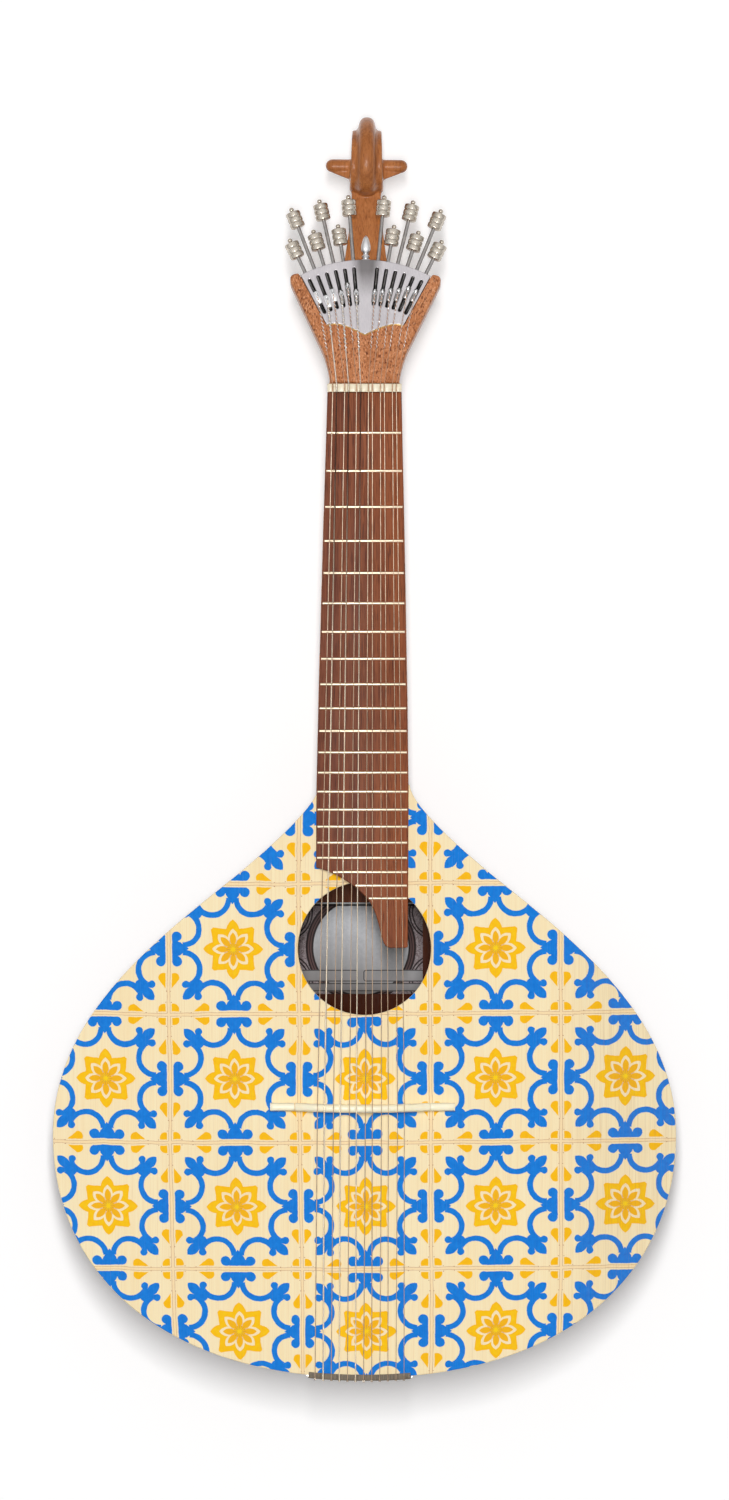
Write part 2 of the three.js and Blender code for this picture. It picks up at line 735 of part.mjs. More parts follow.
function headSlab() {
  const tipHalfWidth = fanEndHalfWidth + hornTipOutset;
  const tipU = fanEndU + hornTipRise;
  const cornerHalfWidth = fanEndHalfWidth + hornCornerOutset;
  const shoulderHalfWidth = fanEndHalfWidth + hornShoulderOutset;
  const bassSide = new THREE.Path();
  bassSide.moveTo(-tipHalfWidth, tipU);
  bassSide.quadraticCurveTo(
    -cornerHalfWidth, tipU, -shoulderHalfWidth, fanEndU - hornShoulderDrop);
  bassSide.lineTo(-headFlareHalfWidth, headFlareU);
  bassSide.quadraticCurveTo(
    -headWaistHalfWidth - headEdge, headFlareU / 2, -headWaistHalfWidth, headStart);
  const down = bassSide.getPoints(bodyCurveSteps / 2);
  const up = down.map((p) => new THREE.Vector2(-p.x, p.y)).reverse();
  const top = fanArc(fanRadius - headEdge, fanHalfAngle, -fanHalfAngle);
  const shape = new THREE.Shape(offsetLoop([...down, ...up, ...top], -headEdge));
  const slab = new THREE.ExtrudeGeometry(shape, {
    depth: headThickness - 2 * headEdge,
    bevelThickness: headEdge,
    bevelSize: headEdge,
    bevelSegments: 1,
  });
  return slab.translate(0, 0, -headThickness + headEdge);
}

// Outline of the tuner frame between its bar and an outer arc, as wide as the plate over it
function frameLoop(innerRadius, outerRadius) {
  return [
    ...fanArc(innerRadius, -fanHalfAngle, fanHalfAngle),
    ...fanArc(outerRadius, fanHalfAngle, -fanHalfAngle),
  ];
}

// Section across the scroll's band: flat inside, with a ridge between two hollows outside
function bandRing(inner, outer, halfWidth, ridge) {
  const length = inner.distanceTo(outer);
  const along = outer.clone().sub(inner).normalize();
  const edge = length - ridge;
  const rounding = ridge * cheekRoundingShare;
  const profile = [
    [halfWidth, 0],
    [halfWidth, edge - rounding],
    [halfWidth - rounding, edge],
    [ridgeHalfWidth + rounding, edge + ridge * hollowRiseShare],
    ...ridgeSideShares.map(([across, up]) => [ridgeHalfWidth * across, edge + ridge * up]),
  ];
  const mirrored = profile.map(([x, s]) => [-x, s]).reverse();
  return [...profile, [0, length], ...mirrored].map(([x, s]) => new THREE.Vector3(
    x, inner.x + along.x * s, inner.y + along.y * s));
}

// Radius of the scroll's outer edge, with 0 at its top and half a turn at its throat
function scrollRadius(angle) {
  if (angle < 0) {
    return THREE.MathUtils.lerp(scrollTopRadius, scrollBackRadius, -2 * angle / Math.PI);
  }
  return scrollTopRadius * (scrollThroatRadius / scrollTopRadius) ** (angle / Math.PI);
}

function scrollPoint(angle, radius) {
  return new THREE.Vector2(
    scrollAxisY + radius * Math.cos(angle), scrollAxisZ + radius * Math.sin(angle));
}

function scrollVolute() {
  const rings = [];
  for (let i = 0; i <= scrollSteps; i += 1) {
    const angle = THREE.MathUtils.lerp(-Math.PI / 2, Math.PI, i / scrollSteps);
    const share = Math.max(0, angle / Math.PI);
    rings.push(bandRing(
      scrollPoint(angle, scrollHubRadius),
      scrollPoint(angle, scrollRadius(angle)),
      THREE.MathUtils.lerp(scrollHalfWidth, throatHalfWidth, share),
      THREE.MathUtils.lerp(ridgeHeight, throatRidgeHeight, share)));
  }
  return loft(rings);
}

// Stem from under the fan to the back of the scroll
function scrollStem() {
  const rootFront = fromHead(0, (stemRootY - headY) / Math.cos(headLean), -stemRootDepth);
  const rootBack = fromHead(0, (stemRootY - headY) / Math.cos(headLean), -headThickness + fit);
  const hub = scrollPoint(-Math.PI / 2, scrollHubRadius);
  const back = scrollPoint(-Math.PI / 2, scrollBackRadius);
  const slope = Math.tan(headLean);
  const front = new THREE.CubicBezierCurve(
    new THREE.Vector2(rootFront.y, rootFront.z),
    new THREE.Vector2(
      THREE.MathUtils.lerp(rootFront.y, hub.x, stemPullShares[0]),
      rootFront.z - slope * stemPullShares[0] * (hub.x - rootFront.y)),
    new THREE.Vector2(
      THREE.MathUtils.lerp(rootFront.y, hub.x, stemPullShares[1]),
      THREE.MathUtils.lerp(rootFront.z, hub.y, stemPullShares[1])),
    hub);
  const rear = new THREE.CubicBezierCurve(
    new THREE.Vector2(rootBack.y, rootBack.z),
    new THREE.Vector2(
      THREE.MathUtils.lerp(rootBack.y, back.x, stemPullShares[0]),
      rootBack.z - slope * stemPullShares[0] * (back.x - rootBack.y)),
    new THREE.Vector2(THREE.MathUtils.lerp(rootBack.y, back.x, stemPullShares[1]), back.y),
    back);
  const rings = [];
  for (let i = 0; i <= stemSteps; i += 1) {
    const share = i / stemSteps;
    const taper = Math.min(1, share / stemTaperShare);
    rings.push(bandRing(
      front.getPoint(share), rear.getPoint(share),
      THREE.MathUtils.lerp(stemRootHalfWidth, scrollHalfWidth, taper),
      ridgeHeight * Math.max(stemRidgeShare, share ** 2)));
  }
  return loft(rings);
}

// The inner coil, narrowing toward the two ears at the scroll's axis
function scrollEars() {
  const coil = [];
  for (let i = 0; i <= coilSteps; i += 1) {
    const along = i / coilSteps;
    const angle = 2 * Math.PI * (coilStartShare + coilTurnShare * along);
    coil.push(scrollPoint(angle, THREE.MathUtils.lerp(coilRadius, earRadius, along)));
  }
  const profile = [new THREE.Vector2(0, -earHalfLength)];
  for (const share of earEndShares) {
    const turn = share * Math.PI / 2;
    profile.push(new THREE.Vector2(
      earRadius * Math.sin(turn), -earHalfLength + earRadius * (1 - Math.cos(turn))));
  }
  const mirrored = profile.map((p) => new THREE.Vector2(p.x, -p.y)).reverse();
  const ears = new THREE.LatheGeometry([...profile, ...mirrored], neckFacets);
  ears.rotateZ(Math.PI / 2).translate(0, scrollAxisY, scrollAxisZ);
  const stations = [
    [-coilHalfLength, coilTipShare], [-scrollHalfWidth, 1],
    [scrollHalfWidth, 1], [coilHalfLength, coilTipShare],
  ];
  const rings = stations.map(([x, sizeShare]) => coil.map((p) => new THREE.Vector3(
    x,
    THREE.MathUtils.lerp(scrollAxisY, p.x, sizeShare),
    THREE.MathUtils.lerp(scrollAxisZ, p.y, sizeShare))));
  return [loft(rings), ears];
}

function makeNeck() {
  const slab = headSlab().applyMatrix4(head.matrix);
  const scroll = [scrollStem(), scrollVolute(), ...scrollEars()].map(
    (form) => form.translate(0, -headY, 0).rotateZ(-headTurn).translate(0, headY, 0));
  const carved = joinAll([neckShaft(), neckHeel(), slab, ...scroll]);
  const opening = offsetLoop(frameLoop(frameBarRadius, fanRadius + overrun), fit);
  const pocket = raised(opening, -pocketDepth, overrun);
  const whole = carved.subtract(toSolid(pocket.applyMatrix4(head.matrix)));
  addPiece(guitar, 'neck', toGeometry(whole), 'mahogany');
}

// Fan of tuners

function slotAngle(index) {
  const fromMiddle = index - slotCount / 2;
  const place = fromMiddle < 0 ? -fromMiddle - 1 : fromMiddle;
  return Math.sign(fromMiddle + 1 / 2) * (firstSlotAngle + place * slotStepAngle);
}

// A group whose Y axis runs outward from the fan's centre along one slot
function slotGroup(index) {
  const group = new THREE.Group();
  group.position.set(0, fanCentreU, 0);
  group.rotation.z = -slotAngle(index);
  return group;
}

function slotHole(index) {
  const angle = slotAngle(index);
  const centre = (radius) => new THREE.Vector2(
    radius * Math.sin(angle), fanCentreU + radius * Math.cos(angle));
  const inner = centre(slotInnerRadius + slotHalfWidth);
  const outer = centre(slotOuterRadius - slotHalfWidth);
  const hole = new THREE.Path();
  hole.absarc(outer.x, outer.y, slotHalfWidth, -angle, Math.PI - angle, false);
  hole.absarc(inner.x, inner.y, slotHalfWidth, Math.PI - angle, 2 * Math.PI - angle, false);
  return hole;
}

// Face plate: an arc above, an ogee with a point below, and a slot for each slider
function makeFanPlate() {
  const cornerX = plateCornerRadius * Math.sin(fanHalfAngle);
  const cornerU = fanCentreU + plateCornerRadius * Math.cos(fanHalfAngle);
  const crest = cornerU - platePointU;
  const [pull, secondPull] = plateOgeeShares.map(([across, up]) => new THREE.Vector2(
    -across * cornerX, cornerU + up * crest));
  const ogee = new THREE.Path();
  ogee.moveTo(-cornerX, cornerU);
  ogee.bezierCurveTo(pull.x, pull.y, secondPull.x, secondPull.y, 0, platePointU);
  const left = ogee.getPoints(bodyCurveSteps / 2);
  const right = left.slice(0, -1).map((p) => new THREE.Vector2(-p.x, p.y)).reverse();
  const shape = new THREE.Shape([...left, ...right, ...fanArc(fanRadius, fanHalfAngle, -fanHalfAngle)]);
  for (let i = 0; i < slotCount; i += 1) shape.holes.push(slotHole(i));
  addPiece(head, 'fan_plate', raised(shape, plateBottom, plateTop, slotEndSteps), 'steel');
}

// Frame in the pocket: a floor, two sides, a rim that the rods pass and a bar that they end in
function makeFanFrame() {
  const tray = toSolid(raised(frameLoop(frameBarRadius, frameRimRadius), -frameHeight, 0));
  const hollow = offsetLoop(frameLoop(
    frameBarRadius + frameBarWall - frameSideWall,
    frameRimRadius - frameRimWall + frameSideWall), -frameSideWall);
  let frame = tray.subtract(toSolid(raised(hollow, -frameHeight + frameFloor, overrun)));
  const barBore = threadRadius + borePlay;
  const rimBore = rodRadius + borePlay;
  const barEnd = frameBarRadius + frameBarWall + fit;
  const rimStart = frameRimRadius - frameRimWall - fit;
  for (let i = 0; i < slotCount; i += 1) {
    const cutter = new THREE.LatheGeometry([
      new THREE.Vector2(0, frameBarRadius - overrun),
      new THREE.Vector2(barBore, frameBarRadius - overrun),
      new THREE.Vector2(barBore, barEnd),
      new THREE.Vector2(rimBore, rimStart),
      new THREE.Vector2(rimBore, frameRimRadius + overrun),
      new THREE.Vector2(0, frameRimRadius + overrun),
    ], screwFacets);
    const group = slotGroup(i);
    group.updateMatrix();
    cutter.translate(0, 0, -screwDrop).applyMatrix4(group.matrix);
    frame = frame.subtract(toSolid(cutter));
  }
  addPiece(head, 'fan_frame', toGeometry(frame), 'nickel');
}

// Profile of a screw, from its pivot in the bar to the ball on its knob
function screwProfile(knobStart) {
  const barOuter = frameBarRadius + frameBarWall;
  const rimInner = frameRimRadius - frameRimWall;
  const points = [
    [0, barOuter - pivotLength], [threadRadius, barOuter - pivotLength],
    [threadRadius, rimInner - fit - collarLength],
    [collarRadius, rimInner - fit - collarLength], [collarRadius, rimInner - fit],
    [rodRadius, rimInner - fit], [rodRadius, knobStart], [knobRadius - knobChamfer, knobStart],
  ];
  let y = knobStart + knobChamfer / 2;
  for (let band = 1; band <= knobBandCount; band += 1) {
    points.push([knobRadius, y], [knobRadius, y + knobBandLength]);
    y += knobBandLength + knobGrooveLength / 2;
    if (band < knobBandCount) points.push([knobGrooveRadius, y]);
    y += knobGrooveLength / 2;
  }
  points.push([knobRadius - knobChamfer, y], [ballRadius / 2, y + fit]);
  points.push([ballRadius, y + ballRadius], [0, y + 2 * ballRadius]);
  return points.map(([r, v]) => new THREE.Vector2(r, v));
}

function makeScrews() {
  for (let i = 0; i < slotCount; i += 1) {
    const short = (i < slotCount / 2 ? i : i + 1) % 2 === 0;
    const rodLength = short ? shortRodLength : longRodLength;
    const geometry = new THREE.LatheGeometry(
      screwProfile(frameRimRadius + rodLength), screwFacets);
    const group = slotGroup(i);
    group.position.z = -screwDrop;
    addPiece(group, `tuner_screw_${String(i + 1).padStart(2, '0')}`, geometry, 'nickel');
    head.add(group);
  }
}

// Section across a slider: the bored block, the neck in the slot and the cap over the plate
function sliderSection() {
  const half = sliderWidth / 2;
  const neck = sliderNeckWidth / 2;
  const top = plateBottom - sliderPlay;
  const bottom = top - sliderBlockDepth;
  const section = new THREE.Shape([
    new THREE.Vector2(-half + sliderEdge, bottom), new THREE.Vector2(half - sliderEdge, bottom),
    new THREE.Vector2(half, bottom + sliderEdge), new THREE.Vector2(half, top),
    new THREE.Vector2(neck, top), new THREE.Vector2(neck, capBottom),
    new THREE.Vector2(half, capBottom), new THREE.Vector2(half, capTop - sliderEdge / 2),
    new THREE.Vector2(half - sliderEdge, capTop), new THREE.Vector2(-half + sliderEdge, capTop),
    new THREE.Vector2(-half, capTop - sliderEdge / 2), new THREE.Vector2(-half, capBottom),
    new THREE.Vector2(-neck, capBottom), new THREE.Vector2(-neck, top),
    new THREE.Vector2(-half, top), new THREE.Vector2(-half, bottom + sliderEdge),
  ]);
  const bore = [];
  for (let i = 0; i < screwFacets; i += 1) {
    const angle = -2 * Math.PI * i / screwFacets;
    const radius = threadRadius + borePlay;
    bore.push(new THREE.Vector2(radius * Math.cos(angle), radius * Math.sin(angle) - screwDrop));
  }
  section.holes.push(new THREE.Path(bore));
  return section;
}

function sliderHook() {
  const near = hookThickness / 2;
  const far = near + hookThickness;
  const root = capTop - sliderEdge / 2;
  const top = capTop + hookHeight;
  return alongX([
    new THREE.Vector2(near, root),
    new THREE.Vector2(far, root),
    new THREE.Vector2(far, top - hookTipThickness),
    new THREE.Vector2(near + hookReach, top),
    new THREE.Vector2(hookThickness, top),
    new THREE.Vector2(near, top - hookTipThickness),
  ], -hookWidth / 2, hookWidth / 2);
}

function makeSliders() {
  const body = toSolid(alongY(sliderSection(), -sliderLength / 2, sliderLength / 2));
  const slider = body.add(toSolid(sliderHook()));
  for (let i = 0; i < slotCount; i += 1) {
    const group = slotGroup(i);
    const name = `tuner_slider_${String(i + 1).padStart(2, '0')}`;
    addPiece(group, name, toGeometry(slider), 'steel').position.y = sliderRadii[i];
    head.add(group);
  }
}

function makeFinial() {
  const profile = [new THREE.Vector2(0, 0)];
  for (const [radiusShare, lengthShare] of finialProfileShares) {
    profile.push(new THREE.Vector2(
      Math.max(finialNeckRadius / 2, finialRadius * radiusShare), finialLength * lengthShare));
  }
  profile.push(new THREE.Vector2(0, finialLength));
  const group = new THREE.Group();
  group.position.set(0, fanCentreU + frameRimRadius + fit, -screwDrop);
  addPiece(group, 'fan_finial', new THREE.LatheGeometry(profile, finialFacets), 'steel');
  head.add(group);
}

// Tail

function makeTailGuard() {
  const shape = new THREE.Shape(offsetLoop(bodyLoop, guardReach - guardChamfer));
  const bottom = soundboardTop - guardLip;
  const outer = new THREE.ExtrudeGeometry(shape, {
    depth: guardTop - bottom - 2 * guardChamfer,
    bevelThickness: guardChamfer,
    bevelSize: guardChamfer,
    bevelSegments: 2,
  });
  outer.translate(0, 0, bottom + guardChamfer);
  const body = raised(offsetLoop(bodyLoop, fit), bottom - overrun, soundboardTop + fit);
  const inner = raised(offsetLoop(bodyLoop, -guardInset), bottom - overrun, guardTop + overrun);
  const region = block(
    new THREE.Vector3(leanAt(0) - guardHalfWidth, -guardReach - overrun, bottom - overrun),
    new THREE.Vector3(leanAt(0) + guardHalfWidth, tailBlockLength, guardTop + overrun));
  const guard = toSolid(outer).subtract(toSolid(body)).subtract(toSolid(inner));
  addPiece(guitar, 'tail_guard', toGeometry(guard.intersect(toSolid(region))), 'slate');
}

function makeTailpiece() {
  const outer = raised(offsetLoop(bodyLoop, fit + tailPlateThickness), tailPlateBottom, tailPlateTop);
  const inner = raised(offsetLoop(bodyLoop, fit), tailPlateBottom - overrun, tailPlateTop + overrun);
  const region = block(
    new THREE.Vector3(leanAt(0) - tailPlateHalfWidth, -tailHookReach - overrun, tailPlateBottom - overrun),
    new THREE.Vector3(leanAt(0) + tailPlateHalfWidth, tailBlockLength, tailPlateTop + overrun));
  let plate = toSolid(outer).subtract(toSolid(inner)).intersect(toSolid(region));
  for (const { tail } of stringPlaces()) {
    const root = tailEdgeY(tail) - fit - tailPlateThickness / 2;
    const tip = tailEdgeY(tail) - tailHookReach;
    const hook = alongX([
      new THREE.Vector2(root, tailHookTop - tailHookThickness), new THREE.Vector2(root, tailHookTop),
      new THREE.Vector2(tip + tailPlateThickness, tailHookTop),
      new THREE.Vector2(tip, tailHookTop - tailPlateThickness),
      new THREE.Vector2(tip, tailHookTop - tailHookDrop),
      new THREE.Vector2(tip + tailPlateThickness, tailHookTop - tailHookDrop),
      new THREE.Vector2(tip + tailPlateThickness, tailHookTop - tailHookThickness),
    ].reverse(), tail - tailHookWidth / 2, tail + tailHookWidth / 2);
    plate = plate.add(toSolid(hook));
  }
  addPiece(guitar, 'tailpiece', toGeometry(plate), 'nickel');
}

// A route through points in straight stretches, with a section square to the mean of both sides
class Route extends THREE.Curve {
  constructor(points) {
    super();
    this.points = points;
  }

  getPoint(t, target = new THREE.Vector3()) {
    const place = t * (this.points.length - 1);
    const index = Math.min(Math.floor(place), this.points.length - 2);
    return target.lerpVectors(this.points[index], this.points[index + 1], place - index);
  }

  getPointAt(u, target) {
    return this.getPoint(u, target);
  }

  getTangentAt(u, target = new THREE.Vector3()) {
    const index = Math.round(u * (this.points.length - 1));
    const here = this.points[index];
    target.set(0, 0, 0);
    if (index > 0) target.add(here.clone().sub(this.points[index - 1]).normalize());
    if (index < this.points.length - 1) {
      target.add(this.points[index + 1].clone().sub(here).normalize());
    }
    return target.normalize();
  }
}

// Each string runs from its slider's hook over the nut and the bridge to the tail
function makeStrings() {
  stringPlaces().forEach(({ radius, nut, bridge, tail }, i) => {
    const angle = slotAngle(i);
    const hookRadius = sliderRadii[i] + hookThickness / 2 - fit;
    const hookU = fanCentreU + hookRadius * Math.cos(angle);
    const hook = fromHead(hookRadius * Math.sin(angle), hookU, capTop + fit + radius);
    const nutZ = nutTop - crownFall(nut) - nutSlotDepth + fit + radius;
    const bridgeZ = soundboardTop + bridgeCrownHeight
      - crownFall(bridge - leanAt(bridgeY)) + fit + radius;
    const edge = tailEdgeY(tail);
    const bend = guardChamfer + fit + radius;
    const corner = new THREE.Vector3(
      tail, edge - guardReach + guardChamfer, guardTop - guardChamfer);
    const points = [
      hook,
      new THREE.Vector3(nut, nutY + fit + nutDepth, nutZ),
      new THREE.Vector3(bridge, bridgeY, bridgeZ),
    ];
    for (const share of tailBendShares) {
      const turn = share * Math.PI / 2;
      points.push(corner.clone().add(new THREE.Vector3(0, -bend * Math.sin(turn), bend * Math.cos(turn))));
    }
    points.push(new THREE.Vector3(
      tail, edge - guardReach - fit - radius, tailHookTop + fit));
    const ring = [];
    for (let side = 0; side < stringFacets; side += 1) {
      const turn = 2 * Math.PI * side / stringFacets;
      ring.push(new THREE.Vector2(radius * Math.cos(turn), radius * Math.sin(turn)));
    }
    const geometry = new THREE.ExtrudeGeometry(new THREE.Shape(ring), {
      steps: points.length - 1, extrudePath: new Route(points),
    });
    addPiece(guitar, `string_${String(i + 1).padStart(2, '0')}`, geometry, 'wire');
  });
}

makeSoundbox();
makeBlocks();
makeLinings();
makeBraces();
makeNeck();
makeFingerboard();
makeNut();
makeBridge();
makeFanPlate();
makeFanFrame();
makeFinial();
makeScrews();
makeSliders();
makeTailGuard();
makeTailpiece();
makeStrings();
guitar.add(head);

// The finished guitar stands with its origin under the middle of its length
const tailMost = -tailHookReach;
guitar.position.y = -(scrollAxisY + scrollTopRadius + tailMost) / 2;
guitar.updateMatrixWorld(true);

export default guitar;
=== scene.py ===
from math import comb, copysign, cos, dist, pi, radians, sin, sqrt, tan

import bpy
from mathutils import Matrix, Vector
from mathutils.geometry import delaunay_2d_cdt


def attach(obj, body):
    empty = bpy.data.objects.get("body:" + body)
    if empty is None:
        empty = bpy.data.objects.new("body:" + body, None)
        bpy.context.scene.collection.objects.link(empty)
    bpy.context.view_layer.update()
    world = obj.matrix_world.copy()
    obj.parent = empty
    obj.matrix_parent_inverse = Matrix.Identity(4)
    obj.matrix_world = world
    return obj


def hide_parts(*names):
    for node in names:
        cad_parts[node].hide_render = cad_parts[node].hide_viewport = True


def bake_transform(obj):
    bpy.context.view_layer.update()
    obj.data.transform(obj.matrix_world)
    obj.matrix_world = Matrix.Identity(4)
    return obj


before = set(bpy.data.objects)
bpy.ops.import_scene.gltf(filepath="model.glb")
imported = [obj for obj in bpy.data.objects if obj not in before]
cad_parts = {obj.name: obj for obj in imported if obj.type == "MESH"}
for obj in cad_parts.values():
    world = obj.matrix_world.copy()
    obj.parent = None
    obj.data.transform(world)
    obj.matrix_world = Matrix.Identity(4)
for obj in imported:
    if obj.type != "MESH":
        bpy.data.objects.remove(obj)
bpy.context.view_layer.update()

# Sizes in millimetres. Y is counted from the tail edge of the body, as in the part's source.
MM = 0.001
ORIGIN_Y = 384.55

BODY_HALF_WIDTH = 190.8
BODY_LENGTH = 363
ROOT_HALF_WIDTH = 27.8
BODY_CURVES = (
    ((0.1458, 0.9627), (0.3606, 0.8681), (0.4765, 0.8198)),
    ((0.7491, 0.7061), (1, 0.5855), (1, 0.4094)),
    ((1, 0.1776), (0.6509, 0), (0, 0)),
)
BACK_TOP, BACK_EDGE = 3, 1.1
SIDE_LOW, SIDE_HIGH, SIDE_THICK, SIDE_EDGE, SIDE_GAP = 3.3, 68.7, 2.4, 0.2, 0.15
BOARD_LOW, BOARD_HIGH, BOARD_EDGE = 69, 72, 0.6
HOLE_Y, HOLE_RADIUS = 262.9, 40.7

NUT_Y = 603.2
NUT_FRONT, NUT_BACK = 603.5, 608.5
NUT_HALF_WIDTH = 22.7
NUT_TOP = 79.8
SCALE_LENGTH = 440.6
FRETS = 21
BRIDGE_Y = 165.9
BRIDGE_BOW = 1.1
BRIDGE_BASE, BRIDGE_CROWN, BRIDGE_SHOULDER = 72.3, 82.4, 5.4
BRIDGE_FOOT, BRIDGE_BAR, BRIDGE_TOE, BRIDGE_SHIFT = 56.6, 41.4, 4.4, -1.2
ARCH_HALF, ARCH_RISE, CUT_HALF, CUT_DEPTH = 34, 2.55, 0.5, 0.3
NECK_LEAN = 2.2
CROWN_RADIUS = 220
FINGER_LOW, FINGER_HIGH = 72.3, 77.5
FINGER_END_HALF_WIDTH = 28.2
FINGER_BASS_END, FINGER_TREBLE_END = 312.1, 263.3
FINGER_CORNER = 1.2
FRET_HALF, FRET_RISE, FRET_INSET, FRET_ROUND = 0.85, 0.98, 0.8, 0.12
FINGER_END_CURVES = (
    ((0.163, 0.037), (0.393, 0.176), (0.54, 0.36)),
    ((0.724, 0.576), (0.676, 1), (0.806, 1)),
)

HEAD_Y, HEAD_Z = 608.8, 75
HEAD_LEAN = radians(10)
HEAD_TURN = radians(0.55)
HEAD_THICK = 16
HEAD_EDGE = 1.6
HORN_TIP, HORN_OUT, HORN_SIDE, HORN_DROP = 1.4, 8.6, 5.2, 6.4
WAIST = (-26, 20.5)
POCKET_INNER, POCKET_OUTER, POCKET_DEPTH = 51.2, 92, 8.3
PLATE_CORNER, PLATE_POINT = 49.7, 30.2
PLATE_LOW, PLATE_HIGH, PLATE_EDGE = 0.3, 1.5, 0.3
FAN_CENTRE = -8
FAN_RADIUS = 84.8
FAN_HALF_ANGLE = radians(28)
SLOT_INNER, SLOT_OUTER, SLOT_HALF = 56.5, 80.2, 1.05
SLOTS = 12
SLIDER_INNER, SLIDER_OUTER = 61.15, 75.55
SLIDER_SHARES = (0.4276, 0.1083, 0.2811, 0.1346, 0.3996, 0.0803,
                 0.0869, 0.128, 0.24, 0.3371, 0.5593, 0.5658)
# Sliders painted as if lit; the others are painted as if in shade.
LIT_SLIDERS = 3
SHORT_TWIST = "02"
SCREW_DROP = 3.2
SHORT_KNOB, LONG_KNOB = 95.7, 113
FINIAL_RADIUS, FINIAL_LENGTH = 3, 16.5
RIM_RADIUS, RIM_INNER = 84, 81.8
BAR_OUTER = 54.5

STRING_RADII = (0.26, 0.43, 0.24, 0.38, 0.22, 0.33, 0.24, 0.24, 0.21, 0.21, 0.19, 0.19)
WOUND = (1, 3, 5)
WINDING, WINDING_SLANT = 4, 1.2
NUT_COURSE, NUT_PAIR = 7.3, 2.4
BRIDGE_COURSE, BRIDGE_PAIR = 9.8, 4.2
TAIL_STEP, TAIL_Z = 4.95, 46.7
NOTCH_DEPTH, STRING_SEAT = 0.9, 0.3
HOOK_LIFT, HOOK_REACH = 3.2, 0.4
GUARD_HALF, GUARD_Z, GUARD_ROUND = 31.2, 74.2, 0.8
NECK_TOP, NECK_EDGE = 72, 69
HEEL_Y, HEEL_HALF, HEEL_REACH, HEEL_HEIGHT = 363.3, (13, 25.2), (15, 62), (2, 61)

# Where the painted dark reflection on the face plate begins.
DARK_REFLECTION_Y = 670
# Where the painted highlight and shade along the strings change.
STRING_LIGHT_START, STRING_LIGHT_END = 400, 560
FINGER_DARK_Y = 410

SCROLL_Y, SCROLL_Z = 742.4, 38
SCROLL_TOP, SCROLL_THROAT, SCROLL_BACK = 30.1, 17.8, 33
SCROLL_HUB, RIDGE, ROLL_RIDGE, BAND_HALF, ROLL_HALF = 2, 8.1, 2, 9, 10.4
STEM_Y, STEM_HALF, STEM_SINK, STEM_RISE = 655, 16.5, 9, 0.3
EAR_RADIUS, EAR_END = 4.1, 25.1


# Points and curves

def lean(y):
    """How far the strings lie to the bass side at a place along the guitar."""
    return -NECK_LEAN * (NUT_Y - y) / (NUT_Y - BRIDGE_Y)


def fall(across, radius=CROWN_RADIUS):
    """Height of a cambered surface below its crown."""
    return radius - sqrt(radius ** 2 - across ** 2)


def mix(a, b, share):
    return a + (b - a) * share


def in_frame(point):
    """A point in millimetres, counted from the tail, as metres in the row frame."""
    return Vector((point[0], point[1] - ORIGIN_Y, point[2])) * MM


SPIN = Matrix.Rotation(-HEAD_TURN, 4, "Z")
PIVOT = Matrix.Translation((0, HEAD_Y, 0)) @ SPIN @ Matrix.Translation((0, -HEAD_Y, 0))
HEAD = Matrix.Translation((0, HEAD_Y, HEAD_Z)) @ SPIN @ Matrix.Rotation(-HEAD_LEAN, 4, "X")
TILT = HEAD.copy()
TILT.translation = in_frame(HEAD.translation)
FLAT = Matrix.Translation((0, -ORIGIN_Y * MM, 0))


def from_head(x, u, w):
    """A point of the head's own frame, in millimetres counted from the tail."""
    return HEAD @ Vector((x, u, w))


def turned_head(point):
    """A point of the straight guitar, swung to the treble side with the head."""
    return PIVOT @ Vector(point)


def bezier(ends, steps):
    """Points after the start of the curve that a row of control points makes."""
    last = len(ends) - 1
    points = []
    for i in range(1, steps + 1):
        t = i / steps
        shares = [comb(last, k) * (1 - t) ** (last - k) * t ** k for k in range(last + 1)]
        points.append(tuple(sum(s * p[axis] for s, p in zip(shares, ends)) for axis in (0, 1)))
    return points


def smooth_line(points, steps):
    """A curve through all the points."""
    made = []
    last = len(points) - 1
    for i in range(last):
        p = [points[max(0, i - 1)], points[i], points[i + 1], points[min(last, i + 2)]]
        for k in range(steps):
            t = k / steps
            made.append(tuple(
                0.5 * (2 * b + (c - a) * t + (2 * a - 5 * b + 4 * c - d) * t * t
                       + (3 * b - a - 3 * c + d) * t ** 3)
                for a, b, c, d in zip(*p)))
    made.append(tuple(points[-1]))
    return made


def body_right(steps):
    """Right half of the body's outline, from the tail to the neck."""
    points = [(ROOT_HALF_WIDTH, BODY_LENGTH)]
    for curve in BODY_CURVES:
        ends = [(x * BODY_HALF_WIDTH, y * BODY_LENGTH) for x, y in curve]
        points += bezier([points[-1]] + ends, steps)
    return points[::-1]


def body_loop(steps=40):
    right = body_right(steps)
    return right + [(-x, y) for x, y in reversed(right[1:])]


def offset_loop(loop, distance):
    """A counter-clockwise loop moved outward."""
    moved = []
    for i, (x, y) in enumerate(loop):
        before, after = Vector(loop[i - 1]), Vector(loop[(i + 1) % len(loop)])
        here = Vector((x, y))
        a, b = (here - before).normalized(), (after - here).normalized()
        out = Vector((a.y + b.y, -a.x - b.x)) * (distance / (1 + a.dot(b)))
        moved.append((x + out.x, y + out.y))
    return moved


def arc(x, y, radius, start, end, steps):
    """Points around a centre, from one angle to another."""
    turns = [mix(start, end, i / steps) for i in range(steps + 1)]
    return [(x + radius * cos(t), y + radius * sin(t)) for t in turns]


def fan_arc(radius, start, end, steps=28):
    """Points around the fan's centre, with angles counted from its middle line."""
    return arc(0, FAN_CENTRE, radius, pi / 2 - start, pi / 2 - end, steps)


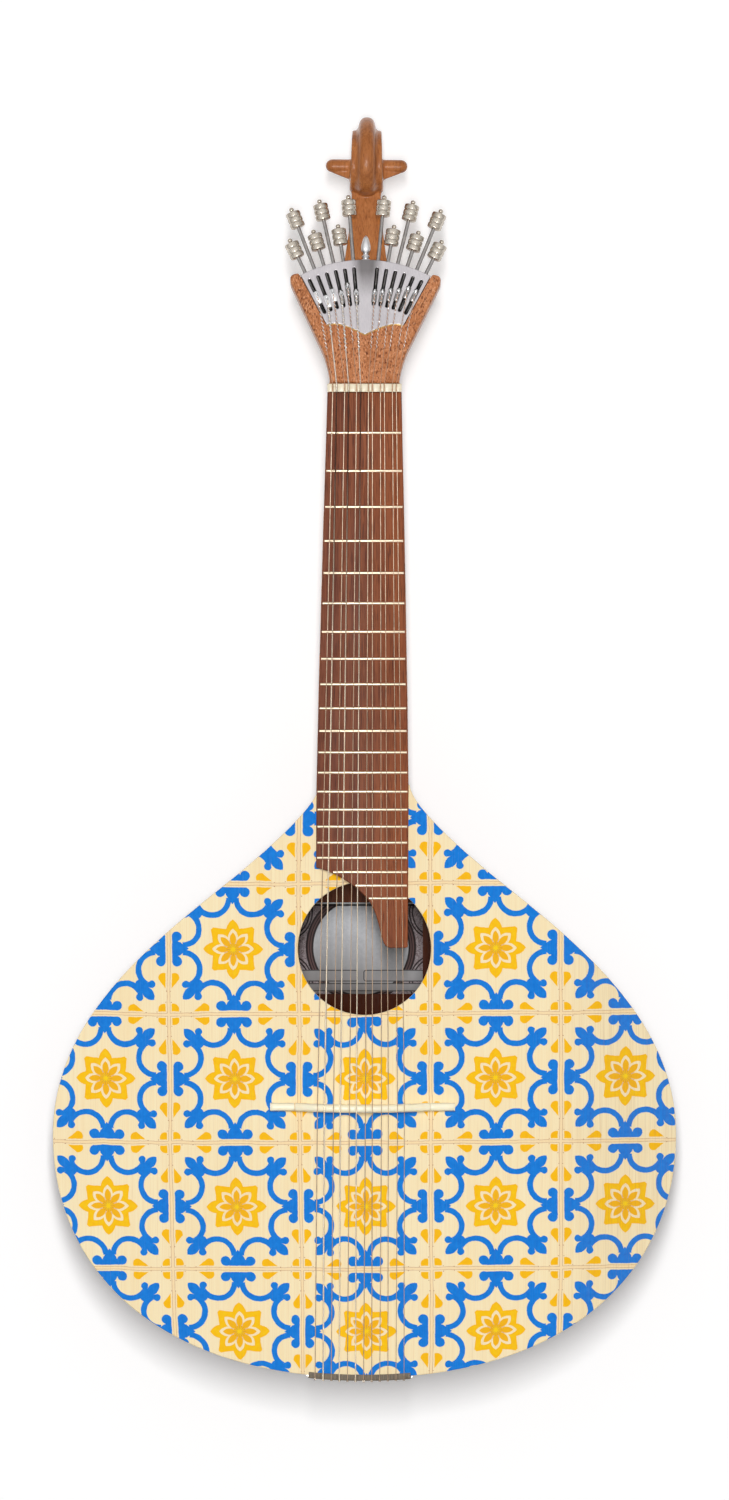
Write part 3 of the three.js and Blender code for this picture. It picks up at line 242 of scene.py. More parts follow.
def crossings(loop, y):
    """The places where a level line meets a loop."""
    made = []
    for i, a in enumerate(loop):
        b = loop[i - 1]
        if (a[1] > y) != (b[1] > y):
            made.append((b[0] - a[0]) * (y - a[1]) / (b[1] - a[1]) + a[0])
    return made


def contains(loop, spot):
    return sum(spot[0] < x for x in crossings(loop, spot[1])) % 2 == 1


# Meshes

def given(thing, **values):
    """A thing with some of its settings changed."""
    for key, value in values.items():
        setattr(thing, key, value)
    return thing


def modified(holder, kind, **values):
    return given(holder.modifiers.new(kind.lower(), kind), **values)


def to_mesh(name, points, faces, sharp=35):
    mesh = bpy.data.meshes.new(name)
    mesh.from_pydata([tuple(p) for p in points], [], faces)
    mesh.validate()
    return shaded(mesh, sharp)


def shaded(mesh, sharp=35):
    mesh.polygons.foreach_set("use_smooth", [True] * len(mesh.polygons))
    mesh.set_sharp_from_angle(angle=radians(sharp))
    mesh.update()
    return mesh


def ring_faces(rings, count, caps=True):
    faces = []
    for r in range(rings - 1):
        for i in range(count):
            a, b = r * count + i, r * count + (i + 1) % count
            faces.append((a, b, b + count, a + count))
    if caps:
        faces.append(tuple(range(count))[::-1])
        faces.append(tuple(range((rings - 1) * count, rings * count)))
    return faces


def loft(name, rings, caps=True, sharp=35):
    """A skin over rings of points in millimetres."""
    points = [p for ring in rings for p in ring]
    faces = ring_faces(len(rings), len(rings[0]), caps)
    return to_mesh(name, [in_frame(p) for p in points], faces, sharp)


def grid(name, columns, rows, place):
    """A sheet of quads, with each point placed by its shares of the width and the height."""
    points = [place(i / columns, j / rows) for j in range(rows + 1) for i in range(columns + 1)]
    starts = [j * (columns + 1) + i for j in range(rows) for i in range(columns)]
    return to_mesh(name, points, [(a, a + 1, a + columns + 2, a + columns + 1) for a in starts])


def turned(name, profile, steps, sharp=35):
    """A form turned about the Y axis. The profile gives radius and place, in millimetres."""
    points = []
    for radius, y in profile:
        for i in range(steps):
            angle = 2 * pi * i / steps
            size = radius(angle) if callable(radius) else radius
            points.append((size * cos(angle) * MM, y * MM, -size * sin(angle) * MM))
    return to_mesh(name, points, ring_faces(len(profile), steps), sharp)


def plate(name, loops, low, high, edge, steps, matrix):
    """A flat plate with holes and rounded edges, drawn flat and then set in place."""
    curve = given(
        bpy.data.curves.new(name, "CURVE"), dimensions="2D", fill_mode="BOTH",
        extrude=(high - low) / 2 * MM - edge * MM, offset=-edge * MM,
        bevel_depth=edge * MM, bevel_resolution=steps)
    for loop in loops:
        spline = curve.splines.new("POLY")
        spline.points.add(len(loop) - 1)
        for point, (x, y) in zip(spline.points, loop):
            point.co = (x * MM, y * MM, 0, 1)
        spline.use_cyclic_u = True
    mesh = baked(loose(name, curve))
    mesh.transform(Matrix.Translation((0, 0, (low + high) / 2 * MM)))
    shaded(mesh)
    flat = [abs(p.normal.z) < 0.999 for p in mesh.polygons]
    mesh.polygons.foreach_set("use_smooth", flat)
    mesh.transform(matrix)
    return mesh


def baked(holder):
    """The mesh that an object shows, with the object itself taken away."""
    bpy.context.view_layer.update()
    graph = bpy.context.evaluated_depsgraph_get()
    mesh = bpy.data.meshes.new_from_object(holder.evaluated_get(graph))
    mesh.name = holder.name
    data = holder.data
    bpy.data.objects.remove(holder)
    if isinstance(data, bpy.types.Curve):
        bpy.data.curves.remove(data)
    return mesh


def loose(name, data):
    """A new object in the scene, which rides on no body yet."""
    holder = bpy.data.objects.new(name, data)
    bpy.context.scene.collection.objects.link(holder)
    return holder


def joined(name, meshes):
    """Several meshes as one, without welding them."""
    points, faces = [], []
    for mesh in meshes:
        start = len(points)
        points += [v.co.copy() for v in mesh.vertices]
        faces += [tuple(start + i for i in p.vertices) for p in mesh.polygons]
    return to_mesh(name, points, faces)


def carved(name, meshes, voxel, rounds):
    """Overlapping meshes melted into one skin, with softened creases."""
    holder = loose(name, joined(name, meshes))
    modified(holder, "REMESH", mode="VOXEL", voxel_size=voxel * MM)
    modified(holder, "SMOOTH", factor=0.5, iterations=rounds)
    return shaded(baked(holder), 60)


def bevelled(name, mesh, width, limit=30):
    holder = loose(name, mesh)
    modified(holder, "BEVEL", width=width * MM, segments=2, angle_limit=radians(limit))
    return shaded(baked(holder), 40)


def tube(name, points, radius, steps=10):
    """A round wire along points in millimetres."""
    line = [Vector(p) for p in points]
    rings = []
    side = None
    for i, here in enumerate(line):
        ahead = line[min(i + 1, len(line) - 1)] - here
        behind = here - line[max(i - 1, 0)]
        along = (ahead.normalized() + behind.normalized()).normalized()
        if side is None:
            side = along.orthogonal().normalized()
        side = (side - along * side.dot(along)).normalized()
        up = along.cross(side)
        size = radius[i] if isinstance(radius, list) else radius
        rings.append([here + side * x + up * y for x, y in arc(0, 0, size, 0, 2 * pi, steps)[:-1]])
    return loft(name, rings)


def show(name, mesh, material, body="guitar", replaces=(), matrix=None):
    piece = loose(name, mesh)
    if not mesh.materials:
        mesh.materials.append(material)
    if matrix is not None:
        piece.matrix_world = matrix
    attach(piece, body)
    if replaces:
        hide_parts(*replaces)
    return piece


# Materials

# A Mix node's inputs for the share and its two colours, and its output for the mixed colour.
MIX_INPUTS, MIX_OUTPUT = (0, 6, 7), 2


def linear(code):
    """A colour written as six hex digits, as linear values."""
    def channel(start):
        value = int(code[start:start + 2], 16) / 255
        return value / 12.92 if value <= 0.04045 else ((value + 0.055) / 1.055) ** 2.4
    return (channel(0), channel(2), channel(4), 1)


def operator(operation):
    return lambda field, other: field.make(operation, other)


class Field:
    """A number that changes over a surface, made of math nodes."""

    __add__ = __radd__ = operator("ADD")
    __sub__ = operator("SUBTRACT")
    __mul__ = __rmul__ = operator("MULTIPLY")
    least, most = operator("MINIMUM"), operator("MAXIMUM")

    def __init__(self, kit, socket):
        self.kit, self.socket = kit, socket

    def make(self, operation, *others, clamp=False):
        return self.kit.math(operation, self, *others, clamp=clamp)

    def __rsub__(self, other):
        return self.kit.math("SUBTRACT", other, self)

    def __abs__(self):
        return self.make("ABSOLUTE")

    def wrapped(self, half):
        return self.make("WRAP", half, -half)

    def clamped(self):
        return self.make("ADD", 0, clamp=True)

    def inside(self, soft):
        """1 where a distance is below 0, with a soft edge."""
        return self.make("MULTIPLY_ADD", -1 / soft, 0.5, clamp=True)

    def band(self, middle, half):
        """Distance to a stripe around a value."""
        return abs(self - middle) - half

    def over(self, low, high):
        """0 at the low value and 1 at the high one."""
        return ((self - low) * (1 / (high - low))).clamped()


class Kit:
    """The nodes of one material, or of the world."""

    def __init__(self, name, kind="materials"):
        self.owner = getattr(bpy.data, kind).new(name)
        self.owner.use_nodes = True
        self.tree = self.owner.node_tree
        self.shader = self.tree.nodes["Principled BSDF" if kind == "materials" else "Background"]
        self.spots = self.node("ShaderNodeTexCoord").outputs

    def node(self, kind, **settings):
        return given(self.tree.nodes.new(kind), **settings)

    def fill(self, node, **values):
        """A node with some of its inputs fed. An underscore stands for a space in their names."""
        for key, value in values.items():
            self.feed(node.inputs[key.replace("_", " ")], value)
        return node

    def feed(self, socket, value):
        if isinstance(value, Field):
            value = value.socket
        if isinstance(value, bpy.types.NodeSocket):
            self.tree.links.new(value, socket)
        else:
            socket.default_value = linear(value) if isinstance(value, str) else value

    def math(self, operation, *values, clamp=False):
        made = self.node("ShaderNodeMath", operation=operation, use_clamp=clamp)
        for socket, value in zip(made.inputs, values):
            self.feed(socket, value)
        return Field(self, made.outputs[0])

    def length(self, x, y):
        return (x * x + y * y).make("SQRT")

    def parts(self, vector):
        """X, Y and Z of a vector."""
        made = self.fill(self.node("ShaderNodeSeparateXYZ"), Vector=vector)
        return [Field(self, s) for s in made.outputs]

    def place(self):
        """X and Y of the object in millimetres, with Y counted from the tail."""
        x, y, z = self.parts(self.spots["Object"])
        return x * 1000, y * 1000 + ORIGIN_Y

    def facing(self, spot="Normal"):
        """How far a surface or a direction looks up."""
        return self.parts(self.spots[spot])[2]

    def seen(self):
        """1 for all rays but those that light the scene, and 1 for reflections."""
        rays = self.node("ShaderNodeLightPath").outputs
        kinds = ("Camera", "Glossy", "Transmission")
        camera, glossy, clear = [Field(self, rays[f"Is {kind} Ray"]) for kind in kinds]
        return camera.most(glossy).most(clear), glossy

    def noise(self, scale, detail=3, rough=0.55, twist=0.0):
        """Cloudy noise, with its scale per millimetre for all axes, across and along, or for each."""
        scale = (*scale, scale[0])[:3] if isinstance(scale, tuple) else (scale,) * 3
        mapped = self.fill(self.node("ShaderNodeMapping"), Vector=self.spots["Object"],
                           Scale=[s / MM for s in scale])
        made = self.fill(self.node("ShaderNodeTexNoise"), Vector=mapped.outputs[0], Scale=1,
                         Detail=detail, Roughness=rough, Distortion=twist)
        return Field(self, made.outputs[0])

    def coats(self, colour, *layers):
        """A colour with others laid over it, each by its share."""
        for layer, share in layers:
            made = self.node("ShaderNodeMix", data_type="RGBA")
            for place, value in zip(MIX_INPUTS, (share, colour, layer)):
                self.feed(made.inputs[place], value)
            colour = made.outputs[MIX_OUTPUT]
        return colour

    def ramp(self, field, stops):
        made = self.fill(self.node("ShaderNodeValToRGB"), Fac=field)
        while len(made.color_ramp.elements) < len(stops):
            made.color_ramp.elements.new(0.5)
        for element, (place, colour) in zip(made.color_ramp.elements, stops):
            element.position, element.color = place, linear(colour)
        return made.outputs[0]

    def done(self, height, depth, **values):
        """The material with its values, and with relief of a depth in millimetres."""
        made = self.fill(self.node("ShaderNodeBump"), Strength=1, Distance=depth * MM, Height=height)
        self.fill(self.shader, Normal=made.outputs[0], **values)
        return self.owner


def wood(name, tones, pore, streak=(0.16, 0.012), fine=(1.6, 0.04), pores=(2.6, 0.16),
         gloss=0.4, coat=0.3, pore_share=0.7, relief=0.06, fleck=None, inside_shade=None, highlight_and_tone=None):
    """Wood whose grain runs along Y: broad streaks, fine fibres, short dark pores and pale flecks."""
    kit = Kit(name)
    x, y = kit.place()
    broad = kit.noise(streak, 4, 0.6, 0.4)
    fibre = kit.noise(fine, 3, 0.6)
    colour = kit.ramp(broad * 0.62 + fibre * 0.38, tones)
    if highlight_and_tone:
        # Painted highlight: a greyish pink over the bass side of the board. The treble side takes a warmer
        # tone, and the middle darkens a little around FINGER_DARK_Y.
        middle = 1 - abs(y - FINGER_DARK_Y).over(20, 120)
        colour = kit.coats(colour, (pore, middle * 0.2), (highlight_and_tone[0], (1 - x.over(-26, 4)) * highlight_and_tone[2]),
                           (highlight_and_tone[1], x.over(-2, 24) * highlight_and_tone[2]))
    dots = kit.noise(pores, 2, 0.5).over(0.54, 0.66)
    colour = kit.coats(colour, (pore, dots * pore_share))
    if fleck:
        light = kit.noise((pores[0] * 0.9, pores[1] * 1.1, pores[0] * 0.8), 2, 0.5)
        colour = kit.coats(colour, (fleck, (1 - light.over(0.33, 0.45)) * 0.6))
    # Painted shade inside the body: the back's inner face darkens, and lightens towards the neck end, where
    # light falls in through the soundhole.
    if inside_shade:
        deep = kit.coats(inside_shade[0], (inside_shade[1], (y - HOLE_Y).over(-10, 34)),
                         (pore, fibre.over(0.45, 0.7) * 0.6))
        inner = kit.facing().over(0.6, 0.9)
        colour = kit.coats(colour, (deep, inner))
        coat = (1 - inner) * coat
    wear = kit.noise((0.05, 0.03), 3)
    return kit.done(fibre * 0.5 - dots, relief, Base_Color=colour, Roughness=wear * 0.18 + (gloss - 0.09),
                    Coat_Weight=coat, Coat_Roughness=0.22, Coat_IOR=1.25,
                    Specular_IOR_Level=0.05 if inside_shade else 0.2)


def metal(name, colour, dark, rough, brush=0.5, relief=0.01):
    """Metal with fine brushing and a cloudy tarnish."""
    kit = Kit(name)
    cloud = kit.noise(0.25, 4)
    lines = kit.noise(brush, 3, 0.7)
    tone = kit.coats(colour, (dark, (cloud * 0.6 + lines * 0.6).over(0.4, 0.85)))
    return kit.done(lines, relief, Base_Color=tone, Metallic=1.0, Roughness=lines * 0.16 + (rough - 0.08))


def face_steel():
    """Brushed plate with a painted dark reflection that runs down its middle."""
    kit = Kit("face_steel")
    x, y = kit.place()
    lines = kit.noise((2.2, 0.05), 3, 0.7)
    cloud = kit.noise((0.06, 0.04), 3)
    down = DARK_REFLECTION_Y - y
    # Painted reflection: a dark band down the plate's middle, widening and strongest towards its outer rim.
    painted_reflection = (1 - (abs(x - 1.4) + down * 0.1).over(2.5, 9)) * (1 - down.over(-8, 8))
    tone = kit.coats("c6c1c3", ("b0acb0", (lines * 0.6 + cloud * 0.5).over(0.4, 0.75)),
                     ("686464", painted_reflection * (cloud * 0.4 + 0.7)))
    return kit.done(lines, 0.008, Base_Color=tone, Metallic=1.0, Roughness=lines * 0.14 + 0.26)


def string_metal(name, low, high, head, wound):
    """Wire with painted highlight and shade that change from the bridge end towards the nut and past it, with
    a fine winding.
    """
    kit = Kit(name)
    x, y = kit.place()
    grime = kit.noise((0.5, 0.2), 3)
    turn = abs(((y - ORIGIN_Y) * WINDING + x * WINDING_SLANT).wrapped(0.5)) * 2 if wound else grime
    # Painted highlight and shade along the wire: the low tone by the bridge, the high tone up the neck and
    # the head tone past the nut.
    tone = kit.coats(low, (high, (y - STRING_LIGHT_START).over(0, STRING_LIGHT_END - STRING_LIGHT_START)),
                     (head, (y - NUT_Y).over(0, 1)), ("806452", (turn * 0.6 + grime * 0.5).over(0.5, 1.1)))
    return kit.done(turn * turn, -0.06 if wound else -0.003, Base_Color=tone, Metallic=0.75,
                    Roughness=grime * 0.12 + 0.3)


def bone(name, tones):
    kit = Kit(name)
    fibre = kit.noise((0.05, 0.9, 0.9), 4)
    cloud = kit.noise(0.08, 3)
    tone = kit.ramp(fibre * 0.5 + cloud * 0.5, tones)
    return kit.done(fibre, 0.02, Base_Color=tone, Roughness=fibre * 0.1 + 0.28, Subsurface_Weight=0.08,
                    Subsurface_Radius=(0.002, 0.0015, 0.001), Coat_Weight=0.2, Coat_Roughness=0.2)


# Painted tiles on the soundboard. One tile is folded onto an eighth of itself, in millimetres.
# Spots hold their middle and radius, leaves their middle, tip and half width, and drops both
# their ends and their radius.
TILE_HALF = 39.5
TILE_X, TILE_WIDE = 0.3, 79.2
TILE_Y, TILE_TALL = 183.6, 78.4
DRIFT_MIDDLE, DRIFT_UNIT = 184.55, 100
DRIFT_X = (-0.054, 1.27, -0.356, -0.102, 0.179, 0.21, -0.35, 0.198, -0.421, 0.036)
DRIFT_Y = (-0.37, 0.562, 0.639, 0.016, 0.35, 0.993, -0.09, -0.113, -0.026, -0.184)
RING, RING_HALF, ARM_TOP = (31, 12.55, 10.3), 1.75, 20.5
STEM_START, STEM_END, STEM_SLOPE = 27.1, 35, 0.75
BAR_X, BAR_HALF = 35.6, 1.9
BALL, HEART, CORNER, CORE = (34.5, 7.6, 3.05), (32, 0, 4.3), (36.4, 36.4, 3.4), (0, 0, 3.8)
SPECK_LOW, SPECK_HIGH = (38.3, 25.6, 0.3), (37.8, 32.2, 0.3)
LEAF, PETAL, LINE_LEAF, INNER_LEAF = (37.8, 43.2, 3.1), (11, 18, 3.95), (7.2, 12.7, 3.05), (6.4, 10.5, 1.95)
LOBE_BACK, LOBE_FRONT = (35.7, 5.3, 32, 0, 2.3), (33, 1, 35.7, 5.3, 2.6)
YELLOW_DROP, DROP_EDGE = (36.1, 17.6, 38.1, 24.6, 3.1), 37.6
SQUARE_SIDE, SQUARE_BOW, SQUARE_CORNER, STAR_SWELL = 12.1, 0.0068, 17.7, 0.25
VEIN_SLOPE, VEIN_HALF, VEIN_RUN = 0.414, 0.12, (3.6, 1.9)
RIB_HALF, RIB_RUN = 0.1, (2.6, 1.4)
CREAM, CREAM_DEEP = "ffeec4", "fadeaa"
PEACH, LINE = "fcdeac", "b0704a"
BLUE, BLUE_DEEP = "0082e2", "0070d0"
YELLOW, YELLOW_DEEP = "ffd604", "ffc000"
ORANGE = "f6a60e"
GRAIN, PAINTED_SHADE = "c48c5c", "78543c"
BARE, BARE_DEEP = "faecd0", "e2c496"


def disc(kit, x, y, middle_x, middle_y, radius):
    """Distance to a round spot."""
    return kit.length(x - middle_x, y - middle_y) - radius


def pointed(kit, u, v, middle, tip, half):
    """Distance to a pointed leaf along u."""
    reach = tip - middle
    radius = (reach ** 2 + half ** 2) / (2 * half)
    return kit.length(u - middle, v + (radius - half)) - radius


def drop(kit, x, y, ax, ay, bx, by, thick):
    """Distance to a drop that narrows from a to b."""
    dx, dy = bx - ax, by - ay
    size = dx * dx + dy * dy
    along = ((x - ax) * (dx / size) + (y - ay) * (dy / size)).clamped()
    return kit.length(x - ax - along * dx, y - ay - along * dy) - (1 - along) * thick


def drift(x, y, weights):
    """How far the hand-laid rows and columns stray, as a smooth curve over the board."""
    a, b = x * (1 / DRIFT_UNIT), (y - DRIFT_MIDDLE) * (1 / DRIFT_UNIT)
    terms = (a, b, a * b, a * a, b * b, a * a * a, a * a * b, a * b * b, b * b * b)
    total = weights[0]
    for weight, term in zip(weights[1:], terms):
        total = total + term * weight
    return total


def tile_fields(kit, x, y):
    """Distances to the blue scrolls, the yellow parts, the cream line, the border and brown strokes."""
    flat_x = abs(((x - TILE_X) * (1 / TILE_WIDE)).wrapped(0.5)) * (2 * TILE_HALF)
    flat_y = abs(((y - TILE_Y) * (1 / TILE_TALL)).wrapped(0.5)) * (2 * TILE_HALF)
    px, py = flat_x.most(flat_y), flat_x.least(flat_y)
    root = sqrt(0.5)
    along, aside = (px + py) * root, (px - py) * root
    u, v = px.most(along), py.least(aside)

    ring = disc(kit, px, py, *RING)
    arm = ring.band(0, RING_HALF).most(px - RING[0]).most(py - ARM_TOP)
    stem = (py - (px - STEM_START) * STEM_SLOPE).most(px - STEM_END).most(-RING_HALF - ring)
    bar = px.band(BAR_X, BAR_HALF).most(py - BALL[1])
    blue = arm.least(stem).least(bar).least(disc(kit, px, py, *BALL)).least(disc(kit, along, aside, *HEART))
    blue = blue.least(drop(kit, along, aside, *LOBE_BACK)).least(drop(kit, along, aside, *LOBE_FRONT))
    blue = blue.least(pointed(kit, along, aside, *LEAF))

    square = (px - SQUARE_SIDE - py * py * SQUARE_BOW).most(along - SQUARE_CORNER)
    star = square.least(pointed(kit, px, py, *PETAL)) - STAR_SWELL
    line = pointed(kit, u, v, *LINE_LEAF)
    inner = pointed(kit, u, v, *INNER_LEAF).least(disc(kit, px, py, *CORE))
    vein = (v - u * VEIN_SLOPE).band(0, VEIN_HALF).most(u.band(*VEIN_RUN))
    vein = vein.least(v.band(0, RIB_HALF).most(u.band(*RIB_RUN)))
    drops = drop(kit, px, py, *YELLOW_DROP).least(disc(kit, px, py, *CORNER)).most(px - DROP_EDGE)
    speck = disc(kit, px, py, *SPECK_LOW).least(disc(kit, px, py, *SPECK_HIGH))
    return blue, star, line, inner, drops, TILE_HALF - px, vein.least(speck)


def painted_spruce():
    kit = Kit("painted_spruce")
    x, y = kit.place()
    wave = kit.noise(0.02, 2) - 0.5
    waver = kit.noise((0.021, 0.019, 0.5), 2, 0.5, 1.0) - 0.5
    hand = kit.noise(0.3, 3) - 0.5
    shake = kit.noise((0.31, 0.27, 0.9), 3, 0.6, 0.6) - 0.5
    slant = (1 - (x + 46).over(0, 12)) * (y - TILE_Y) * 0.012
    blue, star, line, inner, drops, border, strokes = tile_fields(
        kit, x + slant - drift(x, y, DRIFT_X) + wave * 2.2 + hand * 0.7,
        y - drift(x, y, DRIFT_Y) + waver * 2.2 + shake * 0.7)

    soft = 0.3
    grain = kit.noise((0.9, 0.006), 3, 0.6)
    cloud = kit.noise((0.03, 0.012), 4)
    brush = kit.noise(0.4, 4, 0.65)
    fibre = kit.noise((2.4, 0.02), 3, 0.7)
    dab = kit.noise((0.5, 0.16), 3, 0.6).over(0.52, 0.62)
    lines = border.band(0.9, 0.13).inside(0.2)
    yellow = star.inside(soft) * (1 - line.inside(soft)) + inner.inside(soft) + drops.inside(soft)
    rim = (star + 1.1).over(0, 1.1) + (inner + 0.6).over(0, 0.6)
    core = (line.inside(1.5) + drops.inside(soft) * dab * 0.4).clamped()
    gold = kit.coats(YELLOW, (YELLOW_DEEP, (brush * 0.9 + rim * 0.35).over(0.4, 0.95)), (ORANGE, core * 0.65))
    paint = kit.coats(BLUE, (BLUE_DEEP, (brush * 0.8 + grain * 0.4).over(0.45, 0.85)))
    mask = blue.inside(soft)
    colour = kit.coats(
        CREAM,
        (CREAM_DEEP, (grain * 0.7 + cloud * 0.5).over(0.42, 0.86) * 0.8),
        (PEACH, (border - 0.95).inside(0.3) * 0.7),
        (LINE, lines * (brush * 0.6 + 0.4)),
        (gold, yellow.clamped()),
        (LINE, strokes.inside(0.25) * (brush * 0.9 + 0.3)),
        (paint, mask),
        (GRAIN, fibre.over(0.56, 0.78) * (0.3 - mask * 0.22)),
        # Painted shade: the treble side of the board darkens a little towards its edge.
        (PAINTED_SHADE, x.over(116, 150) * (fibre.over(0.4, 0.6) * 0.1 + 0.05)))
    bare = kit.coats(BARE, (BARE_DEEP, fibre.over(0.4, 0.7)))
    colour = kit.coats(bare, (colour, kit.facing().over(0.55, 0.75)))
    return kit.done(mask * 0.5 + yellow * 0.3 - fibre * 0.35, 0.06, Base_Color=colour,
                    Roughness=brush * 0.16 + 0.4, Specular_IOR_Level=0.1)


LABEL_X, LABEL_Y = -2.2, 263.2
LABEL_HALF_WIDTH, LABEL_LOW, LABEL_TOP, LABEL_THICK, LABEL_CURL = 38, 28.7, 27.5, 0.15, 0.5
DISC_RADIUS, LOBE_RADIUS = 29.4, 16.2
LOBE_X, LOBE_Y = 47, 21.4


def rounded_box(kit, px, py, half_x, half_y, corner):
    """Distance to a box with round corners."""
    x, y = (abs(px) - (half_x - corner)).most(0), (abs(py) - (half_y - corner)).most(0)
    return kit.length(x, y) - corner


def label_paper():
    """Paper label with a ringed disc, lobed corners and ruled boxes, no words, and painted shade towards its
    lower left.
    """
    kit = Kit("label_paper")
    x, y = kit.place()
    px, py = x - LABEL_X, y - LABEL_Y
    fibre = kit.noise(0.5, 4)
    scrawl = kit.noise(0.9, 3, 0.7, 1.5)
    paper = kit.coats("dee0e4", ("ccced3", fibre.over(0.3, 0.7)))
    # Painted shade: the paper darkens towards its lower left, deeper inside the body.
    paper = kit.coats("84807e", (paper, (py + px * 0.25).over(-30, 12)))
    ground = kit.coats("b4a8aa", ("746466", scrawl.over(0.42, 0.58)))
    ring = disc(kit, px, py, 0, 0, DISC_RADIUS)
    lobe = abs(disc(kit, abs(px), abs(py), LOBE_X, LOBE_Y, LOBE_RADIUS))
    ink = ring.band(0.4, 0.6).least(ring.band(2.1, 0.3)).least(ring.band(3.9, 0.6))
    ink = ink.least(lobe.band(0.9, 0.45).most(4 - ring))
    upper, lower = py + 17.5, py + 24.6
    field = upper.band(0, 3.6).least(lower.band(0, 2.6))
    boxes = rounded_box(kit, abs(px + 0.2) - 20.4, upper, 18.4, 3.3, 1.4)
    boxes = boxes.least(rounded_box(kit, px, lower, 37, 2.2, 0.8))
    tone = kit.coats(
        paper,
        (ground, (0 - ring).inside(0.3)),
        ("604846", ring.band(2, 2).inside(0.3)),
        ("1e1414", ink.inside(0.25) * 0.95),
        (kit.coats("969292", (paper, 0.45)), field.inside(0.25)),
        ("221c1c", boxes.band(0, 0.28).inside(0.25) * 0.9),
        ("e8ecec", (LABEL_TOP - 1 - py).inside(0.2)),
        ("181212", py.band(LABEL_TOP - 1.6, 0.6).inside(0.2) * 0.9))
    return kit.done(fibre, 0.03, Base_Color=tone, Roughness=0.7)


def make_materials():
    sapele = ((0.25, "8c502e"), (0.45, "b87448"), (0.62, "cc885c"), (0.8, "a05e38"))
    brown = ((0.25, "78401c"), (0.45, "a66434"), (0.62, "bc7844"), (0.8, "8a4c24"))
    rose = ((0.25, "4a200e"), (0.42, "6e361c"), (0.58, "92502c"), (0.75, "582a14"))
    dark = ((0.25, "542e1c"), (0.5, "76442a"), (0.75, "603622"))
    pale = ((0.3, "f0dab0"), (0.55, "e6ca9a"), (0.75, "d6b482"))
    slate = ((0.3, "685e52"), (0.5, "807464"), (0.7, "544a40"))
    ivory = ((0.3, "f6ecd4"), (0.55, "eee1c4"), (0.8, "d6be90"))
    cream = ((0.3, "fffae0"), (0.55, "fff4d2"), (0.8, "f4deb4"))
    return {
        "painted": painted_spruce(),
        "sapele": wood("sapele", sapele, "68321a", gloss=0.42, coat=0.3, pore_share=1,
                       fine=(0.9, 0.06), pores=(1.3, 0.5), fleck="f0b286"),
        "carving": wood("carving", brown, "6e3a18", gloss=0.32, coat=0.6, pore_share=0.4,
                        fine=(0.8, 0.05), pores=(1.2, 0.18)),
        # The rosewood carries a painted highlight on its bass side.
        "rosewood": wood("rosewood", rose, "3a1a14", gloss=0.5, coat=0.08, streak=(0.3, 0.006),
                         fine=(2.2, 0.015), pores=(2.2, 0.07), highlight_and_tone=("62362e", "9e5630", 0.38)),
        "mahogany": wood("mahogany", dark, "3a1e14", gloss=0.4, coat=0.4),
        # The inside of the back carries painted shade.
        "inside": wood("back_wood", dark, "3a1e14", gloss=0.4, coat=0.4, inside_shade=("401804", "7c442a")),
        "spruce": wood("spruce", pale, "c49e6c", gloss=0.6, coat=0, pore_share=0.3, streak=(0.5, 0.01)),
        "slate": wood("slate", slate, "3c3630", gloss=0.5, coat=0.1, streak=(0.7, 0.05), fine=(2.0, 0.2)),
        "nut_bone": bone("nut_bone", ivory),
        "bridge_bone": bone("bridge_bone", cream),
        "brushed": face_steel(),
        "polished": metal("polished_steel", "b0acaa", "84807e", 0.3, 0.8, 0.004),
        "nickel": metal("aged_nickel", "ded5c8", "b0a598", 0.24, 0.6, 0.004),
        "fret": metal("fret_wire", "fcf0d6", "e8d6b6", 0.3, (0.15, 1.5, 1.5), 0.004),
        # A painted highlight for the face plate's lower edge.
        "edge_highlight": metal("plate_edge_highlight", "f0d088", "d6aa60", 0.3),
        # Painted light on the sliders: the first few take this near-white metal as if lit, the rest the grey
        # one below as if in shade. The near-white metal also serves the hooks, finial and twists.
        "bright_and_lit": metal("slider_bright", "fafafa", "e4e4e6", 0.3, 0.8, 0.004),
        "shaded_slider": metal("slider_in_painted_shade", "928e8c", "686462", 0.26, 0.8, 0.004),
        "tray": metal("tuner_tray", "5c5850", "2e2a26", 0.45),
        # The string tones are painted highlight and shade along each wire.
        "plain_string": string_metal("plain_string", "b69c82", "fae4c8", "cea082", False),
        "wound_string": string_metal("wound_string", "faead0", "462c22", "e8dcce", True),
        "label": label_paper(),
    }


# Soundbox

